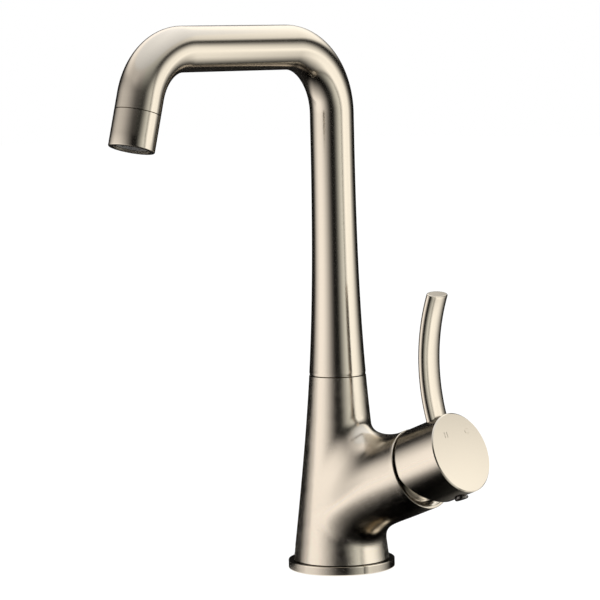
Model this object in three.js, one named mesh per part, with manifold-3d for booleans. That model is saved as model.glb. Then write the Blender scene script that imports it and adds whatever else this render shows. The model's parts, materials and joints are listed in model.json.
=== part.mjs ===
// A gooseneck bar faucet with one lever, in millimetres. +Z is up, the origin is the centre of the base on
// the deck, the spout points to -Y and the handle's branch to +X.
import * as THREE from "three";
import { mergeVertices } from "three/addons/utils/BufferGeometryUtils.js";
import Module from "manifold-3d";

const wasm = await Module();
wasm.setup();

// ---------------------------------------------------------------- driving dimensions

const GAP = 0.3; // between two pieces that seat on each other

// the base, and the column that flares down to it
const FOOT_RADIUS = 26.4; // the body where it meets the flange
const FLANGE_LEDGE = 3; // how far the flange stands out round the foot
const FLANGE_THICKNESS = 5;
const FLANGE_BEVEL = 0.9;
const SPIGOT_STEP = 4.7; // the boss inside the flange is slimmer than the foot by this
const GASKET_WIDTH = 3.4;
const GASKET_THICKNESS = 1.7;
const COLUMN_PULL_OUT = 4; // the foot's curve starts towards a point this far outside the tube's skin
const COLUMN_PULL_HEIGHT = 90.6;
const COLUMN_NECK_HEIGHT = 126.7; // and it is nearly upright from here

// the spout
const TUBE_RADIUS = 12;
const TUBE_WALL = 1.2;
const TUBE_STRAIGHT = 9.5; // of one diameter, below the rear bend
const JOINT_HEIGHT = 106.7; // seam between the body and the swivelling spout
const SEAM_STEP = 0.3; // the spout is slimmer than the body at the seam
const BAR_HEIGHT = 287; // deck to the axis of the horizontal bar
const OUTLET_REACH = 153.5; // column axis to the centre of the mouth
const OUTLET_DROP = 50; // bar axis to the mouth
const OUTLET_LEAN = 15.7; // degrees that the outlet leans outward
const REAR_BEND_RADIUS = 36.5;
const FRONT_BEND_RADIUS = 32;

// the spout's shank, in the body
const SHANK_STEP = 1; // it is slimmer than the tube by this
const SHANK_WALL = 4;
const SHANK_LENGTH = 44.4; // below the seam
const COLLAR_LENGTH = 20; // brazed into the tube, above the seam
const RING_HEIGHT = 3; // glide rings
const RING_DEPTH = 0.7;
const LOWER_RING_RISE = 2.5; // above the shank's end
const UPPER_RING_DROP = 7; // below the seam
const O_RING_SECTION = 0.85; // radius of the cord
const O_RING_RISES = [10, 17];
const LOCK_DROP = 14.7; // lock screw below the seam
const LOCK_SCREW_RADIUS = 1.9;
const LOCK_GROOVE_DEPTH = 1.6;

// the aerator
const AERATOR_LENGTH = 19;
const AERATOR_THREAD = 5;
const CORE_STEP = 2.1; // the insert is slimmer than the tube by this
const CORE_RECESS = 1.5; // mouth to the insert's face
const CORE_LENGTH = 11;
const CORE_WALL = 1.3;
const CORE_FLOOR = 2.2;
const CORE_CELL_PITCH = 2.9;
const CORE_CELL_WEB = 0.3;
const LIP_WIDTH = 0.3; // what holds the insert in its sleeve
const SCREEN_THICKNESS = 0.8;
const WASHER_THICKNESS = 2;

// the branch for the cartridge
const BRANCH_HEIGHT = 36; // where the branch's axis crosses the column's
const BRANCH_RISE = 21.9; // degrees above the horizontal
const BRANCH_LENGTH = 63.2; // to its rim, along its axis
const BRANCH_STRAIGHT = 16.2; // its round part behind the rim
const RIM_WALL = 1.4;
const RIM_BEVEL = 0.5;
const BLEND_TOP = 50; // reach of the fillet over the branch, above the crossing of the axes
const BLEND_BOTTOM = 24;
const BLEND_SIDE = 88; // degrees round the column

// the cartridge
const CARTRIDGE_RADIUS = 17.5; // the common 35 mm ceramic cartridge
const CARTRIDGE_BED = 29.2; // its seat, below the branch's rim
const NUT_LEDGE = 2.2; // its retaining nut is wider than the cartridge by this
const NUT_RISE = 19.3; // the nut's seat above the cartridge's
const BONNET_LEDGE = 1.3; // the bonnet is wider than the nut by this
const BONNET_SEAT = 1.2; // and sits this deep in the rim
const DISC_STEP = 2.3; // the fixed disc is slimmer than the cartridge by this
const MOVING_DISC_STEP = 4.2; // and the moving disc slimmer than the fixed one
const DISC_THICKNESS = 3.4;
const PIVOT_RISE = 35; // the stem's pin above the cartridge's seat
const PIN_RADIUS = 1.5;
const STEM_ARM = 14.5; // pin to the ball that drives the disc
const STEM_SIDE = 8; // square shaft
const STEM_ARM_RADIUS = 2.2;
const BALL_RADIUS = 2.9;
const LIFT_LIMIT = 25; // degrees that the lever tilts outward
const PEG_RADIUS = 1.9; // locating pegs under the cartridge
const PEG_LENGTH = 2;
const PEG_OFFSET = 4; // in from the cartridge's skin

// ports between the cartridge and the body
const PORT_RADIUS = 3.2;
const SEAL_WIDTH = 1.2;
const SEAL_THICKNESS = 1.3;
const OUTLET_PORT_UP = 7; // above the branch's axis
const INLET_PORT_DOWN = 5;
const INLET_PORT_Y = 6;
const WATERWAY_RADIUS = 6; // up to the spout
const INLET_RADIUS = 4.7; // M10 x 1 hose sockets
const INLET_X = 6;
const INLET_Y = 9.5;
const INLET_DEPTH = 12;
const STUD_RADIUS = 3.4; // M8 stud
const STUD_X = -11;
const STUD_DEPTH = 14;

// the handle
const HUB_STEP = 0.4; // it is slimmer than the branch by this
const HUB_CLEARANCE = 1.6; // between the rim and the skirt's edge
const HUB_LENGTH = 28.3;
const HUB_WALL = 1.6;
const HUB_FACE_THICKNESS = 3;
const HUB_CHAMFER = 0.6;
const SKIRT_CUT_OFFSET = 2.5; // where the slanted cut starts, below the axis
const BOSS_WALL = 1.4; // round the stem's corners
const BOSS_RISE = 11; // its rear end, above the stem's pin
const RIB_WIDTH = 11;
const STEM_END_GAP = 1.8; // between the stem and the hub's face
const LEVER_SETBACK = 9.6; // the lever and its set screw, behind the face
const LEVER_LENGTH = 67; // upright, from the hub's top to the tip
const LEVER_BEND_RADIUS = 103.6;
const LEVER_BEND_RISE = 30.4; // where the lever's arc is upright, above the hub's top
const LEVER_FOOT_OUT = 0.55; // its axis crosses the hub's top this far nearer the face
const LEVER_RADIUS = 5.85;
const LEVER_ROUND = 0.7; // edge round of the tip
const LEVER_SPIGOT_RADIUS = 3;
const LEVER_SPIGOT_LENGTH = 8;
const SET_SCREW_RADIUS = 2.4;
const SET_SCREW_LENGTH = 8;
const PLUG_RADIUS = 3.7;
const PLUG_CAP = 1.3; // how far the button stands out of the hub
const PLUG_STEM_RADIUS = 3;
const PLUG_STEM_LENGTH = 5;

const ROUND = 32; // sides of a round piece that shows
const INNER_ROUND = 24; // and of one inside
const SMALL_ROUND = 20;
const PIN_ROUND = 12;
const HEX = 6;

// ---------------------------------------------------------------- what follows from them

const deg = THREE.MathUtils.degToRad;

const FLANGE_RADIUS = FOOT_RADIUS + FLANGE_LEDGE;
const SPIGOT_RADIUS = FOOT_RADIUS - SPIGOT_STEP;
const COLUMN_STRAIGHT_HEIGHT = BAR_HEIGHT - REAR_BEND_RADIUS - TUBE_STRAIGHT;

const TUBE_BORE = TUBE_RADIUS - TUBE_WALL;
const SHANK_RADIUS = TUBE_RADIUS - SHANK_STEP;
const SHANK_BORE = SHANK_RADIUS - SHANK_WALL;
const SHANK_BOTTOM = JOINT_HEIGHT - SHANK_LENGTH;
const LOWER_RING = SHANK_BOTTOM + LOWER_RING_RISE;
const UPPER_RING = JOINT_HEIGHT - UPPER_RING_DROP;
const O_RINGS = O_RING_RISES.map((rise) => SHANK_BOTTOM + rise);
const LOCK_HEIGHT = JOINT_HEIGHT - LOCK_DROP;

// Depths along the branch's axis, outward from the column's, and radii about it.
const SEAT_DEPTH = BRANCH_LENGTH - CARTRIDGE_BED;
const NUT_RADIUS = CARTRIDGE_RADIUS + NUT_LEDGE;
const NUT_BOTTOM = SEAT_DEPTH + NUT_RISE;
const MOUTH_RADIUS = NUT_RADIUS + BONNET_LEDGE;
const MOUTH_BOTTOM = BRANCH_LENGTH - BONNET_SEAT;
const BRANCH_RADIUS = MOUTH_RADIUS + RIM_WALL;
const BLEND_START = BRANCH_LENGTH - BRANCH_STRAIGHT;
const PIVOT_DEPTH = SEAT_DEPTH + PIVOT_RISE;
const BALL_DEPTH = PIVOT_DEPTH - STEM_ARM;
const HUB_RADIUS = BRANCH_RADIUS - HUB_STEP;
const HUB_REAR = BRANCH_LENGTH + HUB_CLEARANCE;
const HUB_FACE = HUB_REAR + HUB_LENGTH;
const HUB_BACK = HUB_FACE - HUB_FACE_THICKNESS; // the face's inner side
const BOSS_REAR = PIVOT_DEPTH + BOSS_RISE;
const LEVER_DEPTH = HUB_FACE - LEVER_SETBACK;
const STEM_TOP = HUB_BACK - STEM_END_GAP;

// Lift moves the discs' slider by this, half each side of the cartridge's axis.
const DISC_TRAVEL = STEM_ARM * Math.sin(deg(LIFT_LIMIT));

// The cartridge's layers.
const BASE_LIP = SEAT_DEPTH + 3;
const BASE_TOP = SEAT_DEPTH + 7.7;
const FIXED_DISC_BOTTOM = BASE_TOP + GAP;
const MOVING_DISC_BOTTOM = FIXED_DISC_BOTTOM + DISC_THICKNESS + GAP;
const SLIDER_BOTTOM = MOVING_DISC_BOTTOM + DISC_THICKNESS + GAP;
const SLIDER_PLATE_TOP = SLIDER_BOTTOM + 2.6;
const SLIDER_TOP = BALL_DEPTH + 2.5;
const CARRIER_BOTTOM = SLIDER_TOP + GAP;
const CARRIER_LIP = CARRIER_BOTTOM + 3;
const CARRIER_TOP = PIVOT_DEPTH + 3;
const HOUSING_CEILING = CARRIER_LIP + GAP;
const HOUSING_SHOULDER = HOUSING_CEILING + 1.3;
const HOUSING_TOP = PIVOT_DEPTH - 1;

// And their radii.
const DISC_RADIUS = CARTRIDGE_RADIUS - DISC_STEP;
const MOVING_DISC_RADIUS = DISC_RADIUS - MOVING_DISC_STEP;
const HOUSING_WAIST_RADIUS = CARTRIDGE_RADIUS - 1.5;
const CARRIER_LIP_RADIUS = CARTRIDGE_RADIUS - 3.4;
const CARRIER_RADIUS = CARRIER_LIP_RADIUS - 2.2;
const SEAL_RADIUS = PORT_RADIUS + SEAL_WIDTH;
const CORE_RADIUS = TUBE_RADIUS - CORE_STEP;
const SLIDER_SIDE = 11; // block in the carrier's rails

// The three ports, as [name, x, y] in the branch's group.
const ports = [
  ["outlet", -OUTLET_PORT_UP, 0],
  ["hot", INLET_PORT_DOWN, -INLET_PORT_Y],
  ["cold", INLET_PORT_DOWN, INLET_PORT_Y],
];
const pegs = [-1, 1].map((side) => [0, side * (CARTRIDGE_RADIUS - PEG_OFFSET)]);

// ---------------------------------------------------------------- materials

const nickel = new THREE.MeshStandardMaterial({ color: 0xc9bfb0, roughness: 0.32, metalness: 1 });
const brightNickel = new THREE.MeshStandardMaterial({ color: 0xd8d0c2, roughness: 0.12, metalness: 1 });
const brass = new THREE.MeshStandardMaterial({ color: 0xb9974d, roughness: 0.35, metalness: 1 });
const steel = new THREE.MeshStandardMaterial({ color: 0x9a9c9e, roughness: 0.35, metalness: 1 });
const ceramic = new THREE.MeshStandardMaterial({ color: 0xf0ede6, roughness: 0.25, metalness: 0 });
const plastic = new THREE.MeshStandardMaterial({ color: 0x8c8d8e, roughness: 0.5, metalness: 0 });
const rubber = new THREE.MeshStandardMaterial({ color: 0x1c1c1d, roughness: 0.7, metalness: 0 });

// ---------------------------------------------------------------- shapes

// A turned piece about +Z from its outline of [radius, height], counter-clockwise as seen with the radius to
// the right. An outline off the axis is closed by itself.
function turned(outline, sides = ROUND) {
  const points = outline.map(([r, z]) => new THREE.Vector2(r, z));
  const first = points[0];
  if (first.x > 0) points.push(first.clone());
  return new THREE.LatheGeometry(points, sides).rotateX(Math.PI / 2);
}

function disc(radius, bottom, top, sides = ROUND) {
  return turned([[0, bottom], [radius, bottom], [radius, top], [0, top]], sides);
}

function ring(inner, outer, bottom, top, sides = ROUND) {
  return turned([[inner, bottom], [outer, bottom], [outer, top], [inner, top]], sides);
}

function block(x, y, z, bottom) {
  return new THREE.BoxGeometry(x, y, z).translate(0, 0, bottom + z / 2);
}

// A round bar between two points.
function rod(from, to, radius, sides = PIN_ROUND) {
  const way = to.clone().sub(from);
  const turn = new THREE.Quaternion().setFromUnitVectors(new THREE.Vector3(0, 0, 1), way.clone().normalize());
  return disc(radius, 0, way.length(), sides).applyQuaternion(turn).translate(from.x, from.y, from.z);
}

// A skin through rings of points, each ring with the same count, capped at both ends.
function loft(rings) {
  const sides = rings[0].length;
  const centres = [rings[0], rings[rings.length - 1]].map((points) =>
    points.reduce((sum, p) => sum.add(p), new THREE.Vector3()).divideScalar(sides),
  );
  const points = [...rings.flat(), ...centres];
  const faces = [];
  for (let i = 0; i < rings.length - 1; i++) {
    for (let j = 0; j < sides; j++) {
      const a = i * sides + j;
      const b = i * sides + ((j + 1) % sides);
      faces.push(a, b, b + sides, a, b + sides, a + sides);
    }
  }
  const last = (rings.length - 1) * sides;
  for (let j = 0; j < sides; j++) {
    const next = (j + 1) % sides;
    faces.push(rings.length * sides, next, j);
    faces.push(rings.length * sides + 1, last + j, last + next);
  }
  return new THREE.BufferGeometry().setFromPoints(points).setIndex(faces);
}

// A skin of round sections along a plane path. Each station has its place, its way and its radius, and
// across is the direction square to the path's plane.
function tubeSkin(stations, across, sides) {
  return loft(
    stations.map(({ at, way, radius }) => {
      const up = way.clone().cross(across).normalize();
      return Array.from({ length: sides }, (_, j) => {
        const a = (2 * Math.PI * j) / sides;
        return at
          .clone()
          .addScaledVector(across, radius * Math.cos(a))
          .addScaledVector(up, radius * Math.sin(a));
      });
    }),
  );
}

// ---------------------------------------------------------------- joining and cutting

function solid(geometry) {
  const bare = geometry.clone();
  bare.deleteAttribute("normal");
  bare.deleteAttribute("uv");
  const merged = mergeVertices(bare, 1e-4);
  return new wasm.Manifold(
    new wasm.Mesh({
      numProp: 3,
      vertProperties: new Float32Array(merged.attributes.position.array),
      triVerts: new Uint32Array(merged.index.array),
    }),
  );
}

function geometryOf(manifold) {
  const mesh = manifold.getMesh();
  const made = new THREE.BufferGeometry();
  made.setAttribute("position", new THREE.BufferAttribute(mesh.vertProperties, 3));
  made.setIndex(new THREE.BufferAttribute(mesh.triVerts, 1));
  return made;
}

const join = (...geometries) => geometryOf(geometries.map(solid).reduce((sum, piece) => sum.add(piece)));
const cut = (geometry, ...tools) =>
  geometryOf(tools.map(solid).reduce((left, tool) => left.subtract(tool), solid(geometry)));

function piece(name, geometry, material) {
  const shown = geometry.toNonIndexed();
  shown.computeVertexNormals();
  const mesh = new THREE.Mesh(shown, material);
  mesh.name = name;
  return mesh;
}

// ---------------------------------------------------------------- the shared curves

// The column's outline, from the foot up into the spout's straight tube.
const columnCurve = new THREE.CubicBezierCurve(
  new THREE.Vector2(FOOT_RADIUS, FLANGE_THICKNESS),
  new THREE.Vector2(TUBE_RADIUS + COLUMN_PULL_OUT, COLUMN_PULL_HEIGHT),
  new THREE.Vector2(TUBE_RADIUS, COLUMN_NECK_HEIGHT),
  new THREE.Vector2(TUBE_RADIUS, COLUMN_STRAIGHT_HEIGHT),
);

// The column's radius and its slope at a height.
function columnAt(height) {
  if (height >= COLUMN_STRAIGHT_HEIGHT) return { radius: TUBE_RADIUS, slope: 0 };
  let low = 0;
  let high = 1;
  for (let i = 0; i < 40; i++) {
    const middle = (low + high) / 2;
    if (columnCurve.getPoint(middle).y < height) low = middle;
    else high = middle;
  }
  const tangent = columnCurve.getTangent(low);
  return { radius: columnCurve.getPoint(low).x, slope: tangent.x / tangent.y };
}

const branchAngle = deg(BRANCH_RISE);
const branchWay = new THREE.Vector3(Math.cos(branchAngle), 0, Math.sin(branchAngle));
const branchUp = new THREE.Vector3(-Math.sin(branchAngle), 0, Math.cos(branchAngle));
const branchRoot = new THREE.Vector3(0, 0, BRANCH_HEIGHT);

// A point by its depth along the branch, its height above the branch's axis and its offset along Y.
const onBranch = (depth, up = 0, y = 0) =>
  branchRoot
    .clone()
    .addScaledVector(branchWay, depth)
    .addScaledVector(branchUp, up)
    .add(new THREE.Vector3(0, y, 0));

// A group whose +Z runs out along the branch, with +X under it.
function branchGroup() {
  const group = new THREE.Group();
  group.position.copy(branchRoot);
  group.rotation.y = Math.PI / 2 - branchAngle;
  return group;
}

const branchFrame = branchGroup();
branchFrame.updateMatrix();
const inBranch = (geometry) => geometry.clone().applyMatrix4(branchFrame.matrix);

// A round bar of the branch's group that lies square to its axis, along X or Y.
const alongX = (radius, from, to, depth) =>
  disc(radius, from, to, PIN_ROUND).rotateY(Math.PI / 2).translate(0, 0, depth);
const alongY = (radius, from, to, depth) =>
  disc(radius, from, to, PIN_ROUND).rotateX(-Math.PI / 2).translate(0, 0, depth);

// ---------------------------------------------------------------- the body

function columnGeometry(bottom, top, steps) {
  const outline = [[0, bottom]];
  for (let i = 0; i <= steps; i++) {
    const height = bottom + ((top - bottom) * i) / steps;
    outline.push([columnAt(height).radius, height]);
  }
  outline.push([0, top]);
  return turned(outline);
}

// One line of the fillet, at an angle round the branch: it runs back along the branch and lands tangent to
// the column, on an egg-shaped footprint.
function blendLine(angle) {
  const sunk = 0.2;
  const leave = 0.5; // how far the line keeps to the branch, and then to the column, as shares of its reach
  const land = 0.35;
  const across = Math.sin(angle);
  const over = Math.cos(angle);
  const start = onBranch(BLEND_START, BRANCH_RADIUS * over, BRANCH_RADIUS * across);
  const climb = (over > 0 ? BLEND_TOP : BLEND_BOTTOM) * over;
  const turn = deg(BLEND_SIDE) * across;
  const { radius, slope } = columnAt(BRANCH_HEIGHT + climb);
  const outward = new THREE.Vector3(Math.cos(turn), Math.sin(turn), 0);
  const round = new THREE.Vector3(-Math.sin(turn), Math.cos(turn), 0);
  const upward = outward.clone().multiplyScalar(slope).add(new THREE.Vector3(0, 0, 1)).normalize();
  const end = outward.clone().multiplyScalar(radius - sunk).setZ(BRANCH_HEIGHT + climb);
  const landing = round.multiplyScalar(radius * turn).addScaledVector(upward, climb).normalize();
  const reach = start.distanceTo(end);
  return new THREE.CubicBezierCurve3(
    start,
    start.clone().addScaledVector(branchWay, -leave * reach),
    end.clone().addScaledVector(landing, -land * reach),
    end,
  );
}

// The branch swells out of the column and ends in its round rim.
function branchGeometry() {
  const shares = [1, 0.85, 0.7, 0.55, 0.4, 0.2, 0]; // along the fillet's lines, from the column outward
  const angles = Array.from({ length: ROUND }, (_, j) => (2 * Math.PI * j) / ROUND);
  const lines = angles.map(blendLine);
  const rimRing = (depth, radius) =>
    angles.map((a) => onBranch(depth, radius * Math.cos(a), radius * Math.sin(a)));
  const rings = [
    lines.map((line) => line.getPoint(1).lerp(branchRoot, 0.5)),
    ...shares.map((share) => lines.map((line) => line.getPoint(share))),
    rimRing(BRANCH_LENGTH - RIM_BEVEL, BRANCH_RADIUS),
    rimRing(BRANCH_LENGTH, BRANCH_RADIUS - RIM_BEVEL),
  ];
  return loft(rings.map((points) => points.reverse()));
}

// The bores for the cartridge, its nut and the bonnet, all open at the rim.
function cartridgeCavity() {
  const over = BRANCH_LENGTH + 1;
  return [
    disc(CARTRIDGE_RADIUS + GAP, SEAT_DEPTH, over, INNER_ROUND),
    disc(NUT_RADIUS + GAP, NUT_BOTTOM - 2 * GAP, over, INNER_ROUND),
    disc(MOUTH_RADIUS, MOUTH_BOTTOM, over),
    ...pegs.map(([x, y]) =>
      disc(PEG_RADIUS + GAP, SEAT_DEPTH - PEG_LENGTH - GAP, SEAT_DEPTH + 1, PIN_ROUND).translate(x, y, 0),
    ),
  ].map(inBranch);
}

// Water rises from the hose sockets to the cartridge and leaves it for the spout.
function waterways() {
  const passage = PORT_RADIUS - 0.2; // the seals sit round its ends
  const seat = SEAT_DEPTH + 1;
  const outlet = rod(onBranch(seat, OUTLET_PORT_UP), onBranch(0, OUTLET_PORT_UP), passage);
  const riserBottom = onBranch(0, OUTLET_PORT_UP).z - passage;
  const riser = disc(WATERWAY_RADIUS, riserBottom, SHANK_BOTTOM + 1, PIN_ROUND);
  const inlets = [-1, 1].flatMap((side) => [
    disc(INLET_RADIUS, -1, INLET_DEPTH, PIN_ROUND).translate(INLET_X, side * INLET_Y, 0),
    rod(
      new THREE.Vector3(INLET_X, side * INLET_Y, INLET_DEPTH - 2),
      onBranch(seat, -INLET_PORT_DOWN, side * INLET_PORT_Y),
      passage,
    ),
  ]);
  return [outlet, riser, ...inlets];
}

function bodyCasting() {
  const skin = join(
    columnGeometry(FLANGE_THICKNESS, JOINT_HEIGHT, 10),
    disc(SPIGOT_RADIUS, 0, FLANGE_THICKNESS + 1),
    branchGeometry(),
  );
  const spoutSocket = disc(SHANK_RADIUS + GAP, SHANK_BOTTOM - GAP, JOINT_HEIGHT + 1, SMALL_ROUND);
  const studHole = disc(STUD_RADIUS, -1, STUD_DEPTH, PIN_ROUND).translate(STUD_X, 0, 0);
  const lockHole = alongY(LOCK_SCREW_RADIUS + GAP, SHANK_RADIUS - 1, FOOT_RADIUS, LOCK_HEIGHT);
  return cut(skin, spoutSocket, ...cartridgeCavity(), ...waterways(), studHole, lockHole);
}

const gasketMiddle = (SPIGOT_RADIUS + GAP + FLANGE_RADIUS) / 2;

function baseFlange() {
  const inner = SPIGOT_RADIUS + GAP;
  const top = FLANGE_THICKNESS - GAP;
  const lowerBevel = FLANGE_BEVEL / 3;
  const plate = turned([
    [inner, 0],
    [FLANGE_RADIUS - lowerBevel, 0],
    [FLANGE_RADIUS, lowerBevel],
    [FLANGE_RADIUS, top - FLANGE_BEVEL],
    [FLANGE_RADIUS - FLANGE_BEVEL, top],
    [inner, top],
  ]);
  const half = GASKET_WIDTH / 2 + GAP;
  return cut(plate, ring(gasketMiddle - half, gasketMiddle + half, -1, GASKET_THICKNESS + GAP));
}

function baseGasket() {
  const half = GASKET_WIDTH / 2;
  return ring(gasketMiddle - half, gasketMiddle + half, 0, GASKET_THICKNESS);
}

// ---------------------------------------------------------------- the cartridge

function cartridgeHousing() {
  const lower = DISC_RADIUS + GAP;
  const upper = CARRIER_LIP_RADIUS + GAP;
  const neck = CARRIER_RADIUS + GAP;
  const neckWall = 1.4;
  const chamfer = 0.5;
  const outline = [
    [lower, BASE_LIP + GAP],
    [CARTRIDGE_RADIUS, BASE_LIP + GAP],
    [CARTRIDGE_RADIUS, NUT_BOTTOM - GAP],
    [HOUSING_WAIST_RADIUS, NUT_BOTTOM - GAP],
    [HOUSING_WAIST_RADIUS, HOUSING_SHOULDER],
    [neck + neckWall, HOUSING_SHOULDER],
    [neck + neckWall, HOUSING_TOP - chamfer],
    [neck + neckWall - chamfer, HOUSING_TOP],
    [neck, HOUSING_TOP],
    [neck, HOUSING_CEILING],
    [upper, HOUSING_CEILING],
    [upper, MOVING_DISC_BOTTOM],
    [lower, MOVING_DISC_BOTTOM],
  ];
  return turned(outline, INNER_ROUND);
}

function cartridgeBase() {
  const bottom = SEAT_DEPTH + GAP;
  const outline = [
    [0, bottom],
    [CARTRIDGE_RADIUS, bottom],
    [CARTRIDGE_RADIUS, BASE_LIP],
    [DISC_RADIUS, BASE_LIP],
    [DISC_RADIUS, BASE_TOP],
    [0, BASE_TOP],
  ];
  const locating = pegs.map(([x, y]) =>
    disc(PEG_RADIUS, SEAT_DEPTH - PEG_LENGTH, bottom + 1, PIN_ROUND).translate(x, y, 0),
  );
  const channels = ports.flatMap(([, x, y]) => [
    disc(PORT_RADIUS, SEAT_DEPTH - 1, BASE_TOP + 1, PIN_ROUND).translate(x, y, 0),
    disc(SEAL_RADIUS + GAP, SEAT_DEPTH - 1, bottom + SEAL_THICKNESS + GAP, PIN_ROUND).translate(x, y, 0),
  ]);
  return cut(join(turned(outline, INNER_ROUND), ...locating), ...channels);
}

function portSeal(x, y) {
  const bottom = SEAT_DEPTH + GAP;
  return ring(PORT_RADIUS, SEAL_RADIUS, bottom, bottom + SEAL_THICKNESS, PIN_ROUND).translate(x, y, 0);
}

function fixedDisc() {
  const top = FIXED_DISC_BOTTOM + DISC_THICKNESS;
  const hole = PORT_RADIUS - 0.4;
  return cut(
    disc(DISC_RADIUS, FIXED_DISC_BOTTOM, top, INNER_ROUND),
    ...ports.map(([, x, y]) => disc(hole, FIXED_DISC_BOTTOM - 1, top + 1, PIN_ROUND).translate(x, y, 0)),
  );
}

// At rest the handle is shut, so the moving disc lies half its travel towards +X. The pocket under it joins
// the ports that it lies over.
function movingDisc() {
  const top = MOVING_DISC_BOTTOM + DISC_THICKNESS;
  const pocketRadius = 6.5;
  const pocketShift = -2;
  const pocket = disc(pocketRadius, MOVING_DISC_BOTTOM - 1, MOVING_DISC_BOTTOM + 1.6, PIN_ROUND);
  const blank = disc(MOVING_DISC_RADIUS, MOVING_DISC_BOTTOM, top, SMALL_ROUND);
  return cut(blank, pocket.translate(pocketShift, 0, 0)).translate(DISC_TRAVEL / 2, 0, 0);
}

function discSlider() {
  const plate = disc(MOVING_DISC_RADIUS, SLIDER_BOTTOM, SLIDER_PLATE_TOP, SMALL_ROUND);
  const cup = block(SLIDER_SIDE, SLIDER_SIDE, SLIDER_TOP - SLIDER_PLATE_TOP + 0.5, SLIDER_PLATE_TOP - 0.5);
  const socket = disc(BALL_RADIUS + GAP, BALL_DEPTH - BALL_RADIUS - GAP, SLIDER_TOP + 1, PIN_ROUND);
  return cut(join(plate.translate(DISC_TRAVEL / 2, 0, 0), cup), socket);
}

// The carrier turns with the handle. Its rails guide the slider, and its ears hold the stem's pin.
function discCarrier() {
  const railWidth = 2.6;
  const railLength = 19;
  const railY = SLIDER_SIDE / 2 + GAP + railWidth / 2;
  const railBottom = SLIDER_PLATE_TOP + GAP;
  const outline = [
    [0, CARRIER_BOTTOM],
    [CARRIER_LIP_RADIUS, CARRIER_BOTTOM],
    [CARRIER_LIP_RADIUS, CARRIER_LIP],
    [CARRIER_RADIUS, CARRIER_LIP],
    [CARRIER_RADIUS, CARRIER_TOP],
    [0, CARRIER_TOP],
  ];
  const rails = [-1, 1].map((side) =>
    block(railLength, railWidth, CARRIER_BOTTOM + 0.5 - railBottom, railBottom).translate(0, side * railY, 0),
  );
  // The slot lets the stem's arm and ball swing by the disc's travel each way.
  const slotLength = 2 * (DISC_TRAVEL + BALL_RADIUS + GAP);
  const slotWidth = STEM_SIDE + 2 * GAP;
  const slot = block(slotLength, slotWidth, CARRIER_TOP - CARRIER_BOTTOM + 2, CARRIER_BOTTOM - 1);
  const pinHole = alongY(PIN_RADIUS + GAP, -CARRIER_RADIUS - 1, CARRIER_RADIUS + 1, PIVOT_DEPTH);
  return cut(join(turned(outline, INNER_ROUND), ...rails), slot, pinHole);
}

function stemPin() {
  const half = CARRIER_RADIUS - GAP;
  return alongY(PIN_RADIUS, -half, half, PIVOT_DEPTH);
}

function retainingNut() {
  const top = MOUTH_BOTTOM - 0.1;
  const slotWidth = 4;
  const slotDepth = 2;
  const nut = ring(HOUSING_WAIST_RADIUS + GAP, NUT_RADIUS, NUT_BOTTOM, top, INNER_ROUND);
  const slots = [0, 90].map((angle) =>
    block(2 * NUT_RADIUS + 2, slotWidth, slotDepth + 1, top - slotDepth).rotateZ(deg(angle)),
  );
  return cut(nut, ...slots);
}

// The bonnet covers the nut and domes over the carrier, inside the handle's skirt.
function bonnetRing() {
  const face = BRANCH_LENGTH + 0.3;
  const edge = 0.25;
  const outer = MOUTH_RADIUS - GAP;
  const top = CARRIER_TOP + GAP + 1.5;
  const outline = [
    [HOUSING_WAIST_RADIUS, MOUTH_BOTTOM + GAP],
    [outer, MOUTH_BOTTOM + GAP],
    [outer, face - edge],
    [outer - edge, face],
    [HOUSING_WAIST_RADIUS + 1.3, face],
    [HOUSING_WAIST_RADIUS + 1.5, face + 2.5],
    [HOUSING_WAIST_RADIUS + 0.2, face + 6.2],
    [CARRIER_RADIUS + 1.9, top - 1],
    [CARRIER_RADIUS - 0.3, top],
    [CARRIER_RADIUS - 1.3, top],
    [CARRIER_RADIUS - 1.3, CARRIER_TOP + 2 * GAP],
    [CARRIER_RADIUS + 1.1, CARRIER_TOP + GAP / 2],
    [HOUSING_WAIST_RADIUS - 0.8, face + 5],
  ];
  return turned(outline, INNER_ROUND);
}

// ---------------------------------------------------------------- the handle

function stem() {
  const shoulder = PIVOT_DEPTH - 3.2;
  const square = block(STEM_SIDE, STEM_SIDE, STEM_TOP - shoulder, shoulder);
  const arm = disc(STEM_ARM_RADIUS, BALL_DEPTH, shoulder + 0.5, PIN_ROUND);
  const ball = new THREE.SphereGeometry(BALL_RADIUS, PIN_ROUND, 8).translate(0, 0, BALL_DEPTH);
  const pinHole = alongY(PIN_RADIUS + GAP, -STEM_SIDE, STEM_SIDE, PIVOT_DEPTH);
  return cut(join(square, arm, ball), pinHole);
}

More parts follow.
